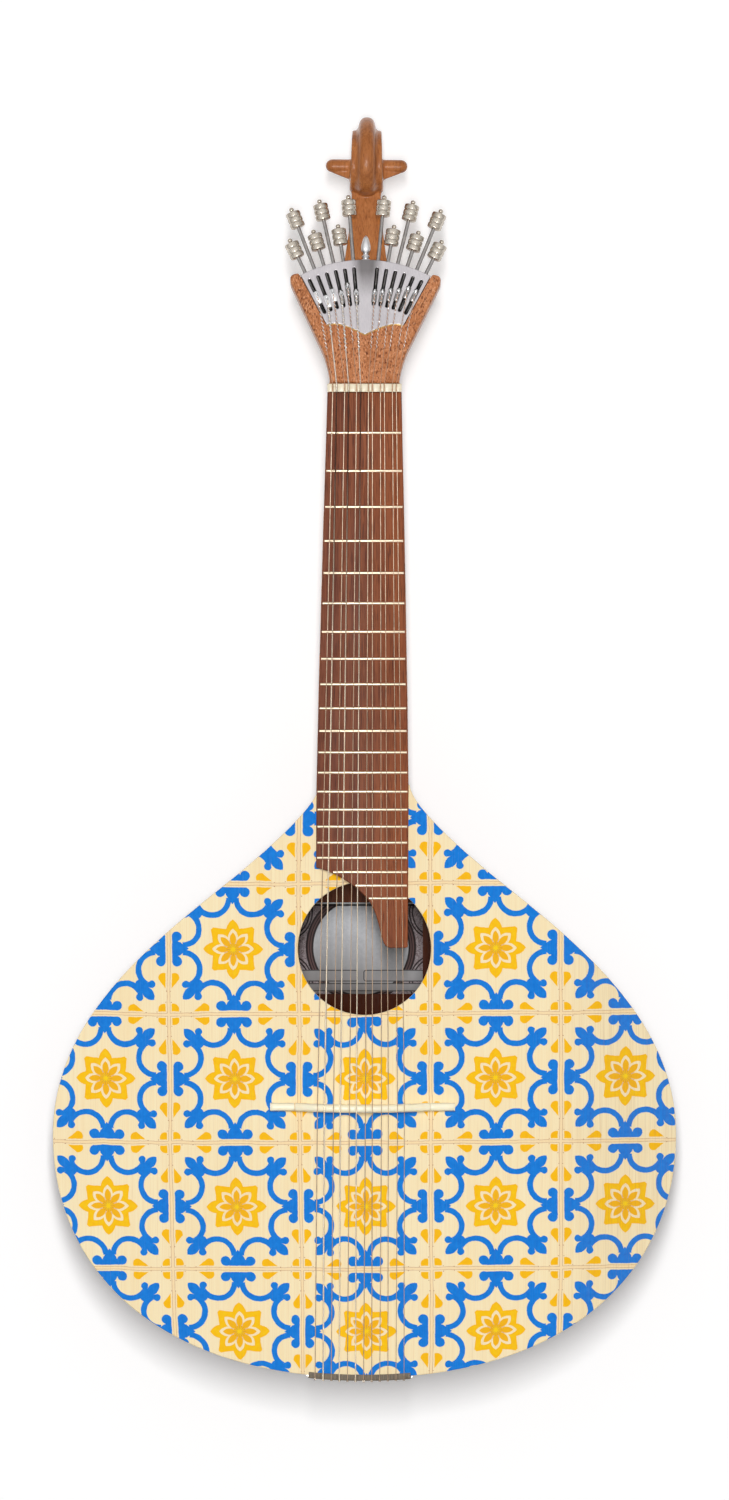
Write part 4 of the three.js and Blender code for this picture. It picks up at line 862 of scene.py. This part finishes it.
def make_soundbox(stuff):
    loop = body_loop()
    hole = arc(0, HOLE_Y, HOLE_RADIUS, 0, 2 * pi, 160)[:-1]
    top = plate("soundboard_top", [loop, hole], BOARD_LOW, BOARD_HIGH, BOARD_EDGE, 3, FLAT)
    show("soundboard_top", top, stuff["painted"], replaces=["soundboard"])
    bottom = plate("back_plate", [loop], 0, BACK_TOP, BACK_EDGE, 4, FLAT)
    show("back_plate", bottom, stuff["inside"], replaces=["back"])

    right = body_right(40)
    inner = offset_loop(loop, -SIDE_THICK)[:len(right)]
    shoulder = BODY_LENGTH - SIDE_THICK
    inner = [p for p in inner if p[0] > SIDE_GAP and p[1] < shoulder]
    outline = [(SIDE_GAP, 0)] + right[1:] + [(SIDE_GAP, BODY_LENGTH), (SIDE_GAP, shoulder)]
    outline += [(ROOT_HALF_WIDTH - 1, shoulder)] + inner[::-1] + [(SIDE_GAP, SIDE_THICK)]
    for name, sign in (("right", 1), ("left", -1)):
        half = [(sign * x, y) for x, y in outline]
        rib = plate("rib_" + name, [half], SIDE_LOW, SIDE_HIGH, SIDE_EDGE, 1, FLAT)
        show("rib_" + name, rib, stuff["mahogany"], replaces=["side_" + name])


def make_label(stuff):
    """A paper label glued to the inside of the back, with its corners lifting."""
    def place(i, j):
        across, up = 2 * i - 1, 2 * j - 1
        return in_frame((LABEL_X + LABEL_HALF_WIDTH * across, LABEL_Y + mix(-LABEL_LOW, LABEL_TOP, j),
                         BACK_TOP + LABEL_THICK + LABEL_CURL * (across * up) ** 8))

    piece = show("label", grid("label", 8, 6, place), stuff["label"])
    modified(piece, "SOLIDIFY", thickness=LABEL_THICK * MM)


# Fingerboard, nut and bridge

def finger_plan(steps=14):
    """Plan of the fingerboard, counter-clockwise from its bass corner at the nut."""
    bass = lean(FINGER_BASS_END) - FINGER_END_HALF_WIDTH
    treble = lean(FINGER_TREBLE_END) + FINGER_END_HALF_WIDTH
    fall_y, span = FINGER_BASS_END - FINGER_TREBLE_END, treble - bass
    nut, root = lean(NUT_Y), lean(BODY_LENGTH)
    plan = [(nut - NUT_HALF_WIDTH, NUT_Y), (root - FINGER_END_HALF_WIDTH, BODY_LENGTH)]
    plan += arc(bass + FINGER_CORNER, FINGER_BASS_END + FINGER_CORNER, FINGER_CORNER,
                pi, 1.5 * pi, 6)
    for curve in FINGER_END_CURVES:
        ends = [(bass + x * span, FINGER_BASS_END - y * fall_y) for x, y in curve]
        plan += bezier([plan[-1]] + ends, steps)
    plan += arc(treble - FINGER_CORNER, FINGER_TREBLE_END + FINGER_CORNER, FINGER_CORNER,
                -pi / 2, 0, 6)
    plan += [(root + FINGER_END_HALF_WIDTH, BODY_LENGTH), (nut + NUT_HALF_WIDTH, NUT_Y)]
    return plan


def dense(loop, step):
    """A loop with extra points along its long edges."""
    made = []
    for i, a in enumerate(loop):
        b = loop[(i + 1) % len(loop)]
        parts = max(1, round(dist(a, b) / step))
        made += [(mix(a[0], b[0], k / parts), mix(a[1], b[1], k / parts)) for k in range(parts)]
    return made


def cambered(name, loop, low, high, middle, edge):
    """A board over a flat outline, with a cambered top and eased edges."""
    loop = dense(loop, 6)
    levels = ((0, low, 0), (0, high - edge, 1), (-edge * 0.3, high - edge * 0.3, 1), (-edge, high, 1))
    rings = []
    for out, z, curved in levels:
        ring = offset_loop(loop, out) if out else loop
        rings.append([(x, y, z - curved * fall(x - middle)) for x, y in ring])
    count = len(loop)
    points = [p for ring in rings for p in ring]
    faces = ring_faces(len(rings), count, False)
    top = [Vector(p[:2]) for p in rings[-1]]
    xs, ys = [p.x for p in top], [p.y for p in top]
    inner = []
    shrunk = offset_loop([(p.x, p.y) for p in top], -1.5)
    for j in range(int((max(ys) - min(ys)) / 6)):
        for i in range(int((max(xs) - min(xs)) / 3)):
            spot = (min(xs) + 1.5 + i * 3, min(ys) + 3 + j * 6)
            if contains(shrunk, spot):
                inner.append(Vector(spot))
    made = delaunay_2d_cdt(top + inner, [], [list(range(count))], 1, 1e-5)
    start = len(points)
    points += [(p.x, p.y, high - fall(p.x - middle)) for p in made[0]]
    faces += [tuple(start + i for i in face) for face in made[2]]
    faces.append(tuple(range(count))[::-1])
    return to_mesh(name, [in_frame(p) for p in points], faces, 50)


def make_fingerboard(stuff):
    middle = lean((NUT_Y + FINGER_TREBLE_END) / 2)
    plan = finger_plan()
    board = cambered("fingerboard_wood", plan, FINGER_LOW, FINGER_HIGH, middle, 0.5)
    show("fingerboard_wood", board, stuff["rosewood"], replaces=["fingerboard"])
    wires = []
    for fret in range(1, FRETS + 1):
        y = NUT_Y - SCALE_LENGTH * (1 - 2 ** (-fret / 12))
        ends = crossings(plan, y - 0.6)
        left, right = min(ends) + FRET_INSET, max(ends) - FRET_INSET
        steps = 12
        stations = [left - FRET_ROUND] + [mix(left, right, i / steps) for i in range(steps + 1)]
        stations.append(right + FRET_ROUND)
        rings = []
        for i, x in enumerate(stations):
            size = 0.45 if i in (0, steps + 2) else 1
            base = FINGER_HIGH - fall(x - middle)
            ring = [(x, y + FRET_HALF, base - 0.4), (x, y - FRET_HALF, base - 0.4)]
            for k in range(9):
                turn = pi * k / 8
                ring.append((x, y - FRET_HALF * cos(turn), base + size * FRET_RISE * sin(turn)))
            rings.append(ring)
        wires.append(loft("fret", rings, sharp=60))
    show("fret_wires", joined("fret_wires", wires), stuff["fret"])


def string_places():
    """Radius of each string, and its places across at nut, bridge and tail."""
    places = []
    for i, radius in enumerate(STRING_RADII):
        course, half = i // 2 - 2.5, i % 2 - 0.5
        places.append((radius, course * NUT_COURSE + half * NUT_PAIR,
                       lean(BRIDGE_Y) + course * BRIDGE_COURSE + half * BRIDGE_PAIR,
                       lean(0) + (i - 5.5) * TAIL_STEP))
    return places


def make_nut(stuff):
    profile = [(-NUT_HALF_WIDTH, FINGER_LOW), (NUT_HALF_WIDTH, FINGER_LOW)]
    profile.append((NUT_HALF_WIDTH, NUT_TOP - fall(NUT_HALF_WIDTH)))
    for radius, x, _, _ in reversed(string_places()):
        top, half = NUT_TOP - fall(x), radius + STRING_SEAT
        for share, depth in ((1, 0), (0.8, 0.7), (0, NOTCH_DEPTH), (-0.8, 0.7), (-1, 0)):
            profile.append((x + half * share, top - depth))
    profile.append((-NUT_HALF_WIDTH, NUT_TOP - fall(NUT_HALF_WIDTH)))
    rings = [[(x, y, z) for x, z in profile] for y in (NUT_BACK, NUT_FRONT)]
    mesh = bevelled("nut_bone", loft("nut_bone", rings, sharp=30), 0.18)
    show("nut_bone", mesh, stuff["nut_bone"], replaces=["nut"])


def make_bridge(stuff):
    """An arched bone bar between two feet, with a notch for each string."""
    middle = lean(BRIDGE_Y)
    foot, bar, shift = BRIDGE_FOOT, BRIDGE_BAR, BRIDGE_SHIFT
    strings = [s[2] for s in string_places()]
    spread = (strings[-1] - strings[0]) / 2 + 2.1

    def heights(x):
        local = x - shift
        low = BRIDGE_BASE + ARCH_RISE * max(0, 1 - (local / ARCH_HALF) ** 2)
        if abs(local) >= bar:
            high = BRIDGE_BASE + mix(BRIDGE_SHOULDER, BRIDGE_TOE, (abs(local) - bar) / (foot - bar))
        elif abs(x - middle) <= spread:
            high = BRIDGE_CROWN - fall(x - middle)
        else:
            inner = spread - (shift - middle) * copysign(1, local)
            share = min(1, max(0, (abs(local) - inner) / (bar - inner)))
            high = mix(BRIDGE_CROWN - fall(spread), BRIDGE_BASE + BRIDGE_SHOULDER, share)
        notch = min(abs(x - s) for s in strings)
        return low, high - CUT_DEPTH * max(0, 1 - notch / CUT_HALF)

    def run(name, start, end, steps):
        xs = {mix(start, end, i / steps) for i in range(steps + 1)}
        xs |= {s + d for s in strings for d in (-CUT_HALF, 0, CUT_HALF) if start < s + d < end}
        rings = []
        for x in sorted(xs):
            low, high = heights(x)
            bow = BRIDGE_Y - BRIDGE_BOW * max(0, 1 - ((x - shift) / bar) ** 2)
            half = [(2.6, 0), (2.6, 0.25), (2.35, 0.7), (1.9, 0.93), (1.2, 1)]
            ring = [(x, bow + y, mix(low, high, z)) for y, z in half]
            rings.append(ring + [(x, 2 * bow - p[1], p[2]) for p in reversed(ring)])
        return loft(name, rings, sharp=50)

    parts = [run("bridge_foot", shift - foot, shift - bar - 0.15, 6),
             run("bridge_bar", shift - bar + 0.1, shift + bar - 0.1, 60),
             run("bridge_toe", shift + bar + 0.15, shift + foot, 6)]
    mesh = bevelled("bridge_bone", joined("bridge_bone", parts), 0.15, 60)
    show("bridge_bone", mesh, stuff["bridge_bone"], replaces=["bridge"])


# Neck, head and scroll

def shaft_mesh():
    stations = ((HEEL_Y, 28.2, 22), (420, 27.3, 20.6), (520, 25, 18.6), (NUT_Y, 22.7, 16.5),
                (611.8, 21.1, 16.5))
    rings = []
    for y, half, depth in stations:
        turns = [pi * i / 24 for i in range(25)]
        ring = [(lean(y) + half, y, NECK_TOP)]
        ring += [(lean(y) + half * cos(t), y, mix(NECK_EDGE, NECK_TOP - depth, sin(t) ** 0.9)) for t in turns]
        rings.append(ring + [(lean(y) - half, y, NECK_TOP)])
    return loft("shaft", rings)


def heel_mesh():
    rings = []
    for i in range(15):
        share = i / 14
        half, reach = mix(*HEEL_HALF, share ** 2.2), mix(*HEEL_REACH, share ** 4)
        turns = [pi * k / 24 for k in range(25)]
        rings.append([(lean(BODY_LENGTH) + half * cos(t), HEEL_Y + reach * sin(t),
                       mix(*HEEL_HEIGHT, share)) for t in turns])
    return loft("heel", rings)


def head_outline():
    """Outline of the head in its own frame, counter-clockwise from the bass horn's tip."""
    end_x = FAN_RADIUS * sin(FAN_HALF_ANGLE)
    end_u = FAN_CENTRE + FAN_RADIUS * cos(FAN_HALF_ANGLE)
    tip, corner = (-end_x - HORN_TIP, end_u + HORN_TIP), (-end_x - HORN_OUT, end_u + HORN_TIP)
    shoulder = (-end_x - HORN_SIDE, end_u - HORN_DROP)
    down = [tip] + bezier((tip, corner, shoulder), 12)
    down += [WAIST] + bezier((WAIST, (-21.9, 10.2), (-21.1, 0.4)), 10)
    up = [(-x, y) for x, y in reversed(down)]
    return down + up + fan_arc(FAN_RADIUS, FAN_HALF_ANGLE, -FAN_HALF_ANGLE)


def head_mesh():
    slab = plate("head", [head_outline()], -HEAD_THICK, 0, HEAD_EDGE, 4, TILT)
    opening = fan_arc(POCKET_INNER, -FAN_HALF_ANGLE, FAN_HALF_ANGLE)
    opening = offset_loop(opening + fan_arc(POCKET_OUTER, FAN_HALF_ANGLE, -FAN_HALF_ANGLE), 0.3)
    rings = [[from_head(x, u, w) for x, u in opening] for w in (-POCKET_DEPTH, 6)]
    cutter = loose("pocket", loft("pocket", rings))
    holder = loose("head_slab", slab)
    modified(holder, "BOOLEAN", operation="DIFFERENCE", solver="EXACT", object=cutter)
    mesh = shaded(baked(holder))
    bpy.data.objects.remove(cutter)
    return mesh


def scroll_radius(angle):
    if angle < 0:
        return mix(SCROLL_TOP, SCROLL_BACK, -2 * angle / pi)
    return SCROLL_TOP * (SCROLL_THROAT / SCROLL_TOP) ** (angle / pi)


def scroll_point(angle, radius):
    return Vector((SCROLL_Y + radius * cos(angle), SCROLL_Z + radius * sin(angle)))


def band_ring(inner, outer, half, ridge):
    """Section across the scroll's band: raised cheeks, two hollows and a round ridge between."""
    length, along = (outer - inner).length, (outer - inner).normalized()
    edge = length - ridge
    side = [(half, 0), (half, edge * 0.5), (half, edge - 1.2), (half - 0.25, edge - 0.35), (half - 0.9, edge)]
    ridge_half = 5.4
    bed = mix(half, ridge_half, 0.55)
    side += [(half - 1.7, edge - 0.1), (bed, edge - 0.5), (ridge_half + 0.7, edge + ridge * 0.05)]
    for i in range(7):
        turn = pi / 2 * (0.1 + 0.9 * i / 6)
        side.append((ridge_half * cos(turn) ** 0.8, edge + ridge * sin(turn) ** 0.9))
    profile = side[:-1] + [(0, length)] + [(-x, s) for x, s in reversed(side[:-1])]
    return [turned_head((x, inner.x + along.x * s, inner.y + along.y * s)) for x, s in profile]


def volute_mesh():
    rings = []
    steps = 44
    for i in range(steps + 1):
        angle = mix(-pi / 2, pi, i / steps)
        share = max(0, angle / pi)
        hub, rim = scroll_point(angle, SCROLL_HUB), scroll_point(angle, scroll_radius(angle))
        rings.append(band_ring(hub, rim, mix(BAND_HALF, ROLL_HALF, share), mix(RIDGE, ROLL_RIDGE, share)))
    return loft("volute", rings)


def stem_mesh():
    run = (STEM_Y - HEAD_Y) / cos(HEAD_LEAN)
    front_root, back_root = from_head(0, run, -STEM_SINK), from_head(0, run, STEM_RISE - HEAD_THICK)
    hub, back = scroll_point(-pi / 2, SCROLL_HUB), scroll_point(-pi / 2, SCROLL_BACK)

    def edge(root, end, level):
        start, near, far = (root.y, root.z), mix(root.y, end.x, 0.42), mix(root.y, end.x, 0.62)
        slope = tan(HEAD_LEAN) * 0.42 * (end.x - root.y)
        return [start] + bezier((start, (near, root.z - slope), (far, level), end), 24)

    front = edge(front_root, hub, mix(front_root.z, hub.y, 0.62))
    rear = edge(back_root, back, back.y)
    rings = []
    for i, (a, b) in enumerate(zip(front, rear)):
        share = i / 24
        rings.append(band_ring(Vector(a), Vector(b), mix(STEM_HALF, BAND_HALF, min(1, share / 0.667)),
                               RIDGE * max(0.1, share ** 2)))
    return loft("stem", rings)


def ear_meshes():
    coil = []
    for i in range(29):
        angle = 2 * pi * (0.42 + 0.6 * i / 28)
        coil.append(scroll_point(angle, mix(9.6, EAR_RADIUS, i / 28)))
    rings = []
    for x, size in ((-20.5, 0.5), (-9, 1), (9, 1), (20.5, 0.5)):
        rings.append([turned_head((x, mix(SCROLL_Y, p.x, size), mix(SCROLL_Z, p.y, size))) for p in coil])
    profile = arc(0, EAR_RADIUS - EAR_END, EAR_RADIUS, -pi / 2, 0, 8)
    profile += [(r, -y) for r, y in reversed(profile)]
    pins = []
    for radius, x in profile:
        size = max(radius, 0.02)
        pins.append([turned_head((x, *scroll_point(pi * k / 12, size))) for k in range(24)])
    return [loft("coil", rings), loft("ears", pins)]


def make_neck(stuff):
    neck = carved("neck_shaft", [shaft_mesh(), heel_mesh()], 1.2, 4)
    show("neck_shaft", neck, stuff["sapele"], replaces=["neck"])
    show("head_slab", head_mesh(), stuff["sapele"])
    scroll = carved("scroll", [stem_mesh(), volute_mesh()] + ear_meshes(), 0.7, 3)
    show("scroll", scroll, stuff["carving"])


# Fan of tuners

def slot_angle(index):
    place = index - SLOTS / 2
    count = -place - 1 if place < 0 else place
    return copysign(radians(5.1 + 4.1 * count), place + 0.5)


def slot_matrix(index, along, w):
    """Row-frame matrix of a place on a slot's line, with Y running outward."""
    spin = Matrix.Rotation(-slot_angle(index), 4, "Z")
    move = Matrix.Translation((0, along * MM, w * MM))
    return TILT @ Matrix.Translation((0, FAN_CENTRE * MM, 0)) @ spin @ move


def make_plate(stuff):
    corner_x = PLATE_CORNER * sin(FAN_HALF_ANGLE)
    corner_u = FAN_CENTRE + PLATE_CORNER * cos(FAN_HALF_ANGLE)
    crest = corner_u - PLATE_POINT
    corner = (-corner_x, corner_u)
    left = [corner] + bezier((corner, (-0.74 * corner_x, corner_u + 0.5 * crest),
                              (-0.4 * corner_x, corner_u - 0.17 * crest), (0, PLATE_POINT)), 24)
    border = left + [(-x, y) for x, y in reversed(left[:-1])]
    loops = [border + fan_arc(FAN_RADIUS, FAN_HALF_ANGLE, -FAN_HALF_ANGLE, 48)]
    for i in range(SLOTS):
        angle = slot_angle(i)
        hole = []
        for place, start in ((SLOT_OUTER - SLOT_HALF, -angle), (SLOT_INNER + SLOT_HALF, pi - angle)):
            hole += arc(place * sin(angle), FAN_CENTRE + place * cos(angle), SLOT_HALF,
                        start, start + pi, 10)
        loops.append(hole)
    mesh = plate("face_plate", loops, PLATE_LOW, PLATE_HIGH, PLATE_EDGE, 3, TILT)
    show("face_plate", mesh, stuff["brushed"], replaces=["fan_plate"])
    # Painted highlight: a yellowish wire along the plate's lower edge stands in for its lit bevel.
    line = tube("plate_edge", [from_head(x, u - 0.25, 0.35) for x, u in border], 0.35, 8)
    show("plate_edge", line, stuff["edge_highlight"])


def knob_profile(start):
    """Rod, knurled knob with three bands and a ball, as radius and place."""
    def knurl(radius, depth=0.16, teeth=28):
        return lambda angle: radius + depth * (0.5 + 0.5 * cos(teeth * angle)) - depth
    rows = [(0.02, start - 0.2), (1.6, start - 0.2), (2.3, start - 0.15), (3.3, start)]
    y = start + 0.6
    for band in range(3):
        rows += [(4.1, y - 0.35), (4.3, y - 0.15), (knurl(4.45), y + 0.15), (knurl(4.5), y + 0.7),
                 (knurl(4.5), y + 1.8), (knurl(4.45), y + 2.35), (4.3, y + 2.6)]
        y += 3.4
        if band < 2:
            rows.append((4.0, y - 0.55))
    y -= 0.45
    rows += [(3.7, y - 0.05), (3.3, y), (1.5, y + 0.1), (0.85, y + 0.25)]
    for i in range(9):
        turn = pi * (0.22 + 0.78 * i / 8)
        rows.append((max(0.02, 1.5 * sin(turn)), y + 1.55 - 1.45 * cos(turn)))
    return rows


def screw_meshes(knob):
    thread = []
    y = BAR_OUTER - 2.4
    end = RIM_INNER - 0.9
    pitch, steps = 0.7, 5
    count = int((end - y) / pitch * steps)
    for i in range(count + 1):
        place = y + (end - y) * i / count
        thread.append((lambda a, p=place: 0.8 + 0.1 * cos(2 * pi * p / pitch - a), place))
    rod = [(1.15, end - 0.05), (1.7, end), (1.9, end + 0.15), (1.9, end + 0.45), (1.7, end + 0.6)]
    rod += [(1.15, end + 0.65), (1.15, knob - 0.1)]
    shank = joined("screw_shank", [turned("thread", thread, 12), turned("rod", rod, 24)])
    return shank, turned("knob", knob_profile(knob), 84, 50)


def make_screws(stuff):
    made = [screw_meshes(start) for start in (SHORT_KNOB, LONG_KNOB)]
    for i in range(SLOTS):
        shank, knob = made[(i if i < SLOTS / 2 else i + 1) % 2]
        number = f"{i + 1:02d}"
        where = slot_matrix(i, 0, -SCREW_DROP)
        body = "screw_" + number
        show("screw_rod_" + number, shank, stuff["polished"], body,
             ["tuner_screw_" + number], where)
        show("screw_knob_" + number, knob, stuff["nickel"], body, (), where)


def slider_mesh():
    """Block under the plate, neck in the slot, crowned cap over it and a bent hook."""
    rings = []
    for y, size in ((-4, 0.82), (-3.7, 1), (3.7, 1), (4, 0.82)):
        half, neck = 1.55 * size, 0.7
        ring = [(half * 0.6, -6), (half, -5.4), (half, -0.1), (neck, -0.1), (neck, 1.9),
                (half, 1.95), (half, mix(1.95, 2.5, size)), (half * 0.62, mix(1.95, 2.85, size))]
        ring.append((0, mix(1.95, 2.9, size)))
        ring += [(-x, z) for x, z in reversed(ring[:-1])]
        rings.append([(x, y + ORIGIN_Y, z) for x, z in ring])
    body = loft("slider_body", rings, sharp=40)
    spine = [(1.4, 2.4), (1.4, 3.4), (1.45, 4.2), (1.9, 4.65), (2.8, 4.78), (3.6, 4.85)]
    spine = smooth_line([(0, y + ORIGIN_Y, z) for y, z in spine], 4)
    sizes = [mix(0.72, 0.34, i / (len(spine) - 1)) for i in range(len(spine))]
    return body, tube("hook", spine, sizes)


def slider_radius(index):
    return mix(SLIDER_INNER, SLIDER_OUTER, SLIDER_SHARES[index])


def make_sliders(stuff):
    block, hook = slider_mesh()
    shaded_block = block.copy()
    for i in range(SLOTS):
        number = f"{i + 1:02d}"
        where = slot_matrix(i, slider_radius(i), 0)
        # Painted light: the first few sliders take a near-white metal as if lit, the rest a grey copy as if
        # in shade.
        lit_or_shaded = (block, "bright_and_lit") if i < LIT_SLIDERS else (shaded_block, "shaded_slider")
        show("slider_block_" + number, lit_or_shaded[0], stuff[lit_or_shaded[1]], "slider_" + number,
             ["tuner_slider_" + number], where)
        show("slider_hook_" + number, hook, stuff["bright_and_lit"], "slider_" + number, (), where)


def make_finial(stuff):
    shares = ((1.06, 0), (1.06, 0.05), (0.9, 0.085), (0.5, 0.12), (0.8, 0.17), (0.86, 0.2), (0.5, 0.27),
              (0.55, 0.31), (0.92, 0.42), (1, 0.5), (0.93, 0.64), (0.68, 0.8), (0.38, 0.93), (0.02, 1))
    line = smooth_line([(FINIAL_RADIUS * r, FINIAL_LENGTH * y) for r, y in shares], 4)
    mesh = turned("finial", [(max(0.02, r), y) for r, y in line], 40, 50)
    where = TILT @ Matrix.Translation((0, (FAN_CENTRE + RIM_RADIUS + 0.3) * MM, -SCREW_DROP * MM))
    show("finial", mesh, stuff["bright_and_lit"], "guitar", ["fan_finial"], where)


# Tail

def tail_line(half, steps):
    """Places across the tail, each with the outline's edge and its outward direction."""
    right = body_right(60)
    full = [(-x, y) for x, y in reversed(right[1:])] + right
    made = []
    for i in range(steps + 1):
        x = lean(0) + half * (2 * i / steps - 1)
        for (ax, ay), (bx, by) in zip(full, full[1:]):
            if ax <= x <= bx:
                y = mix(ay, by, (x - ax) / (bx - ax))
                out = Vector((by - ay, -(bx - ax))).normalized()
                made.append((x, y, out))
                break
    return made


def make_guard(stuff):
    section = [(1.8, 67.2), (1.8, GUARD_Z)]
    turns = (0.4, 0.8, 1.2, 1.57)
    section += [(1 + GUARD_ROUND * cos(t), GUARD_Z + GUARD_ROUND * sin(t)) for t in turns]
    section += [(-1.7, 75), (-2, 74.7), (-2, 72.3), (0.3, 72.3), (0.3, 67.2)]
    rings = []
    for x, y, out in tail_line(GUARD_HALF, 48):
        rings.append([(x + out.x * n, y + out.y * n, z) for n, z in section])
    mesh = loft("guard", rings, sharp=40)
    show("guard", mesh, stuff["slate"], replaces=["tail_guard"])


# Strings

def make_strings(stuff):
    for i, (radius, nut, bridge, tail) in enumerate(string_places()):
        number = f"{i + 1:02d}"
        angle = slot_angle(i)
        reach = slider_radius(i) + HOOK_REACH
        hook = from_head(reach * sin(angle), FAN_CENTRE + reach * cos(angle), HOOK_LIFT + radius)
        nut_z = NUT_TOP - fall(nut) - NOTCH_DEPTH + STRING_SEAT + radius
        bridge_z = BRIDGE_CROWN - fall(bridge - lean(BRIDGE_Y)) + STRING_SEAT + radius
        edge = next(y for x, y, _ in tail_line(GUARD_HALF, 400) if x >= tail)
        over_nut = Vector((nut, NUT_BACK, nut_z))
        points = [hook, over_nut, Vector((nut, NUT_FRONT, nut_z)), Vector((bridge, BRIDGE_Y, bridge_z))]
        bend = GUARD_ROUND + STRING_SEAT + radius
        points += [Vector((tail, y, z)) for y, z in arc(edge - 1, GUARD_Z, bend, pi / 2, pi, 8)]
        points.append(Vector((tail, edge - 2.1 - radius, TAIL_Z)))
        mesh = tube("wire_" + number, points, radius)
        mesh.materials.append(stuff["wound_string" if i in WOUND else "plain_string"])
        wire = loose("wire_" + number, mesh)
        in_frame(over_nut)
        in_frame(hook)
        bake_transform(wire)
        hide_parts("string_" + number)
        make_twist(stuff, number, hook, over_nut, radius)


def make_twist(stuff, number, hook, over_nut, radius):
    """The eye around the hook and the twisted wire that closes it."""
    along = (over_nut - hook).normalized()
    up = TILT.to_3x3() @ Vector((0, 0, 1))
    aside = along.cross(up).normalized()
    up = aside.cross(along)
    wire = min(radius, 0.34) * 0.9
    turns, length, steps = (8, 21, 8) if number == SHORT_TWIST else (13, 34, 8)
    spiral = []
    for k in range(turns * steps + 1):
        angle = 2 * pi * k / steps
        place = hook + along * (0.6 + (length - 0.6) * k / (turns * steps))
        spiral.append(place + (aside * cos(angle) + up * sin(angle)) * (radius + wire * 0.7))
    eye = []
    for k in range(21):
        angle = pi * (0.16 + 1.68 * k / 20)
        eye.append(hook - along * 1.0 + (along * cos(angle) * 1.5 + aside * sin(angle) * 1.05))
    mesh = joined("twist_" + number, [tube("spiral", spiral, wire, 6), tube("eye", eye, wire, 6)])
    show("twist_" + number, mesh, stuff["bright_and_lit"], "slider_" + number)


# CAD pieces that keep their form

def finish_nodes(stuff):
    kept = {"fan_frame": "tray", "tailpiece": "nickel", "neck_block": "mahogany", "tail_block": "mahogany"}
    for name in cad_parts:
        if "brace" in name or "lining" in name:
            kept[name] = "spruce"
    for name, material in kept.items():
        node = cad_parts[name]
        node.data.materials.clear()
        node.data.materials.append(stuff[material])
        width = (0.2 if material in ("tray", "nickel") else 0.5) * MM
        modified(node, "BEVEL", width=width, segments=2, angle_limit=radians(40))


# Floor, light and camera

VIEW_HEIGHT = 0.918
VIEW_CENTRE_Y = -0.0002
FACE_HEIGHT = 0.075
CAMERA_DISTANCE = 18
FLOOR_HALF, FLOOR_DROP = 40, 0.0004
FLOOR_TONE, FLOOR_GLOW = 0.76, 0.33
WORLD_LIGHT, WALL_LOW = 0.22, 0.36
WHITE = (1, 1, 1, 1)


def make_floor():
    """A pale floor that adds a glow of its own where it is seen, up to white."""
    kit = Kit("floor")
    tone = (FLOOR_TONE, FLOOR_TONE, FLOOR_TONE, 1)
    kit.fill(kit.shader, Base_Color=tone, Roughness=0.9, Specular_IOR_Level=0)
    glow = kit.fill(kit.node("ShaderNodeEmission"), Color=WHITE, Strength=kit.seen()[0] * FLOOR_GLOW)
    total = kit.node("ShaderNodeAddShader")
    kit.feed(total.inputs[0], kit.shader.outputs[0])
    kit.feed(total.inputs[1], glow.outputs[0])
    kit.fill(kit.tree.nodes["Material Output"], Surface=total.outputs[0])
    mesh = grid("floor", 4, 4, lambda i, j: (FLOOR_HALF * (2 * i - 1), FLOOR_HALF * (2 * j - 1), -FLOOR_DROP))
    mesh.materials.append(kit.owner)
    loose("floor", mesh)


def make_world():
    """White where it is seen, dim where it lights, and with darker walls in reflections."""
    kit = Kit("studio", "worlds")
    bpy.context.scene.world = kit.owner
    seen, glossy = kit.seen()
    level = seen * (1 - WORLD_LIGHT) + WORLD_LIGHT
    walls = kit.facing("Generated").over(0.1, 0.85) * (1 - WALL_LOW) + (WALL_LOW - 1)
    kit.fill(kit.shader, Color=WHITE, Strength=level * (walls * glossy + 1))


def make_light(name, place, target, size, power, glossy):
    """A soft lamp that is seen either in reflections alone or by matt surfaces alone."""
    lamp = given(bpy.data.lights.new(name, "AREA"), shape="RECTANGLE",
                 size=size[0], size_y=size[1], energy=power)
    aim = (Vector(target) - Vector(place)).to_track_quat("-Z", "Y").to_euler()
    given(loose(name, lamp), location=place, rotation_euler=aim, visible_camera=False,
          visible_glossy=glossy, visible_diffuse=not glossy)


def make_camera():
    sensor = 36
    data = given(bpy.data.cameras.new("camera"), sensor_width=sensor, clip_start=0.5, clip_end=100,
                 lens=sensor * CAMERA_DISTANCE / VIEW_HEIGHT)
    place = (0, VIEW_CENTRE_Y, FACE_HEIGHT + CAMERA_DISTANCE)
    bpy.context.scene.camera = given(loose("camera", data), location=place)


def make_studio():
    make_floor()
    make_world()
    make_light("key", (0, 0.78, 6), (0, 0, 0), (0.5, 2.3), 264, False)
    make_light("gleam", (-0.1, -0.2, 2.4), (0, 0, 0), (0.5, 0.7), 20, True)
    make_light("glint", (0, 0.62, 2.5), (0, 0.2, 0), (0.3, 0.5), 1, True)
    bpy.context.scene.view_settings.view_transform = "Standard"
    make_camera()


make_studio()
materials = make_materials()
make_soundbox(materials)
make_label(materials)
make_fingerboard(materials)
make_nut(materials)
make_bridge(materials)
make_neck(materials)
make_plate(materials)
make_screws(materials)
make_sliders(materials)
make_finial(materials)
make_guard(materials)
make_strings(materials)
finish_nodes(materials)
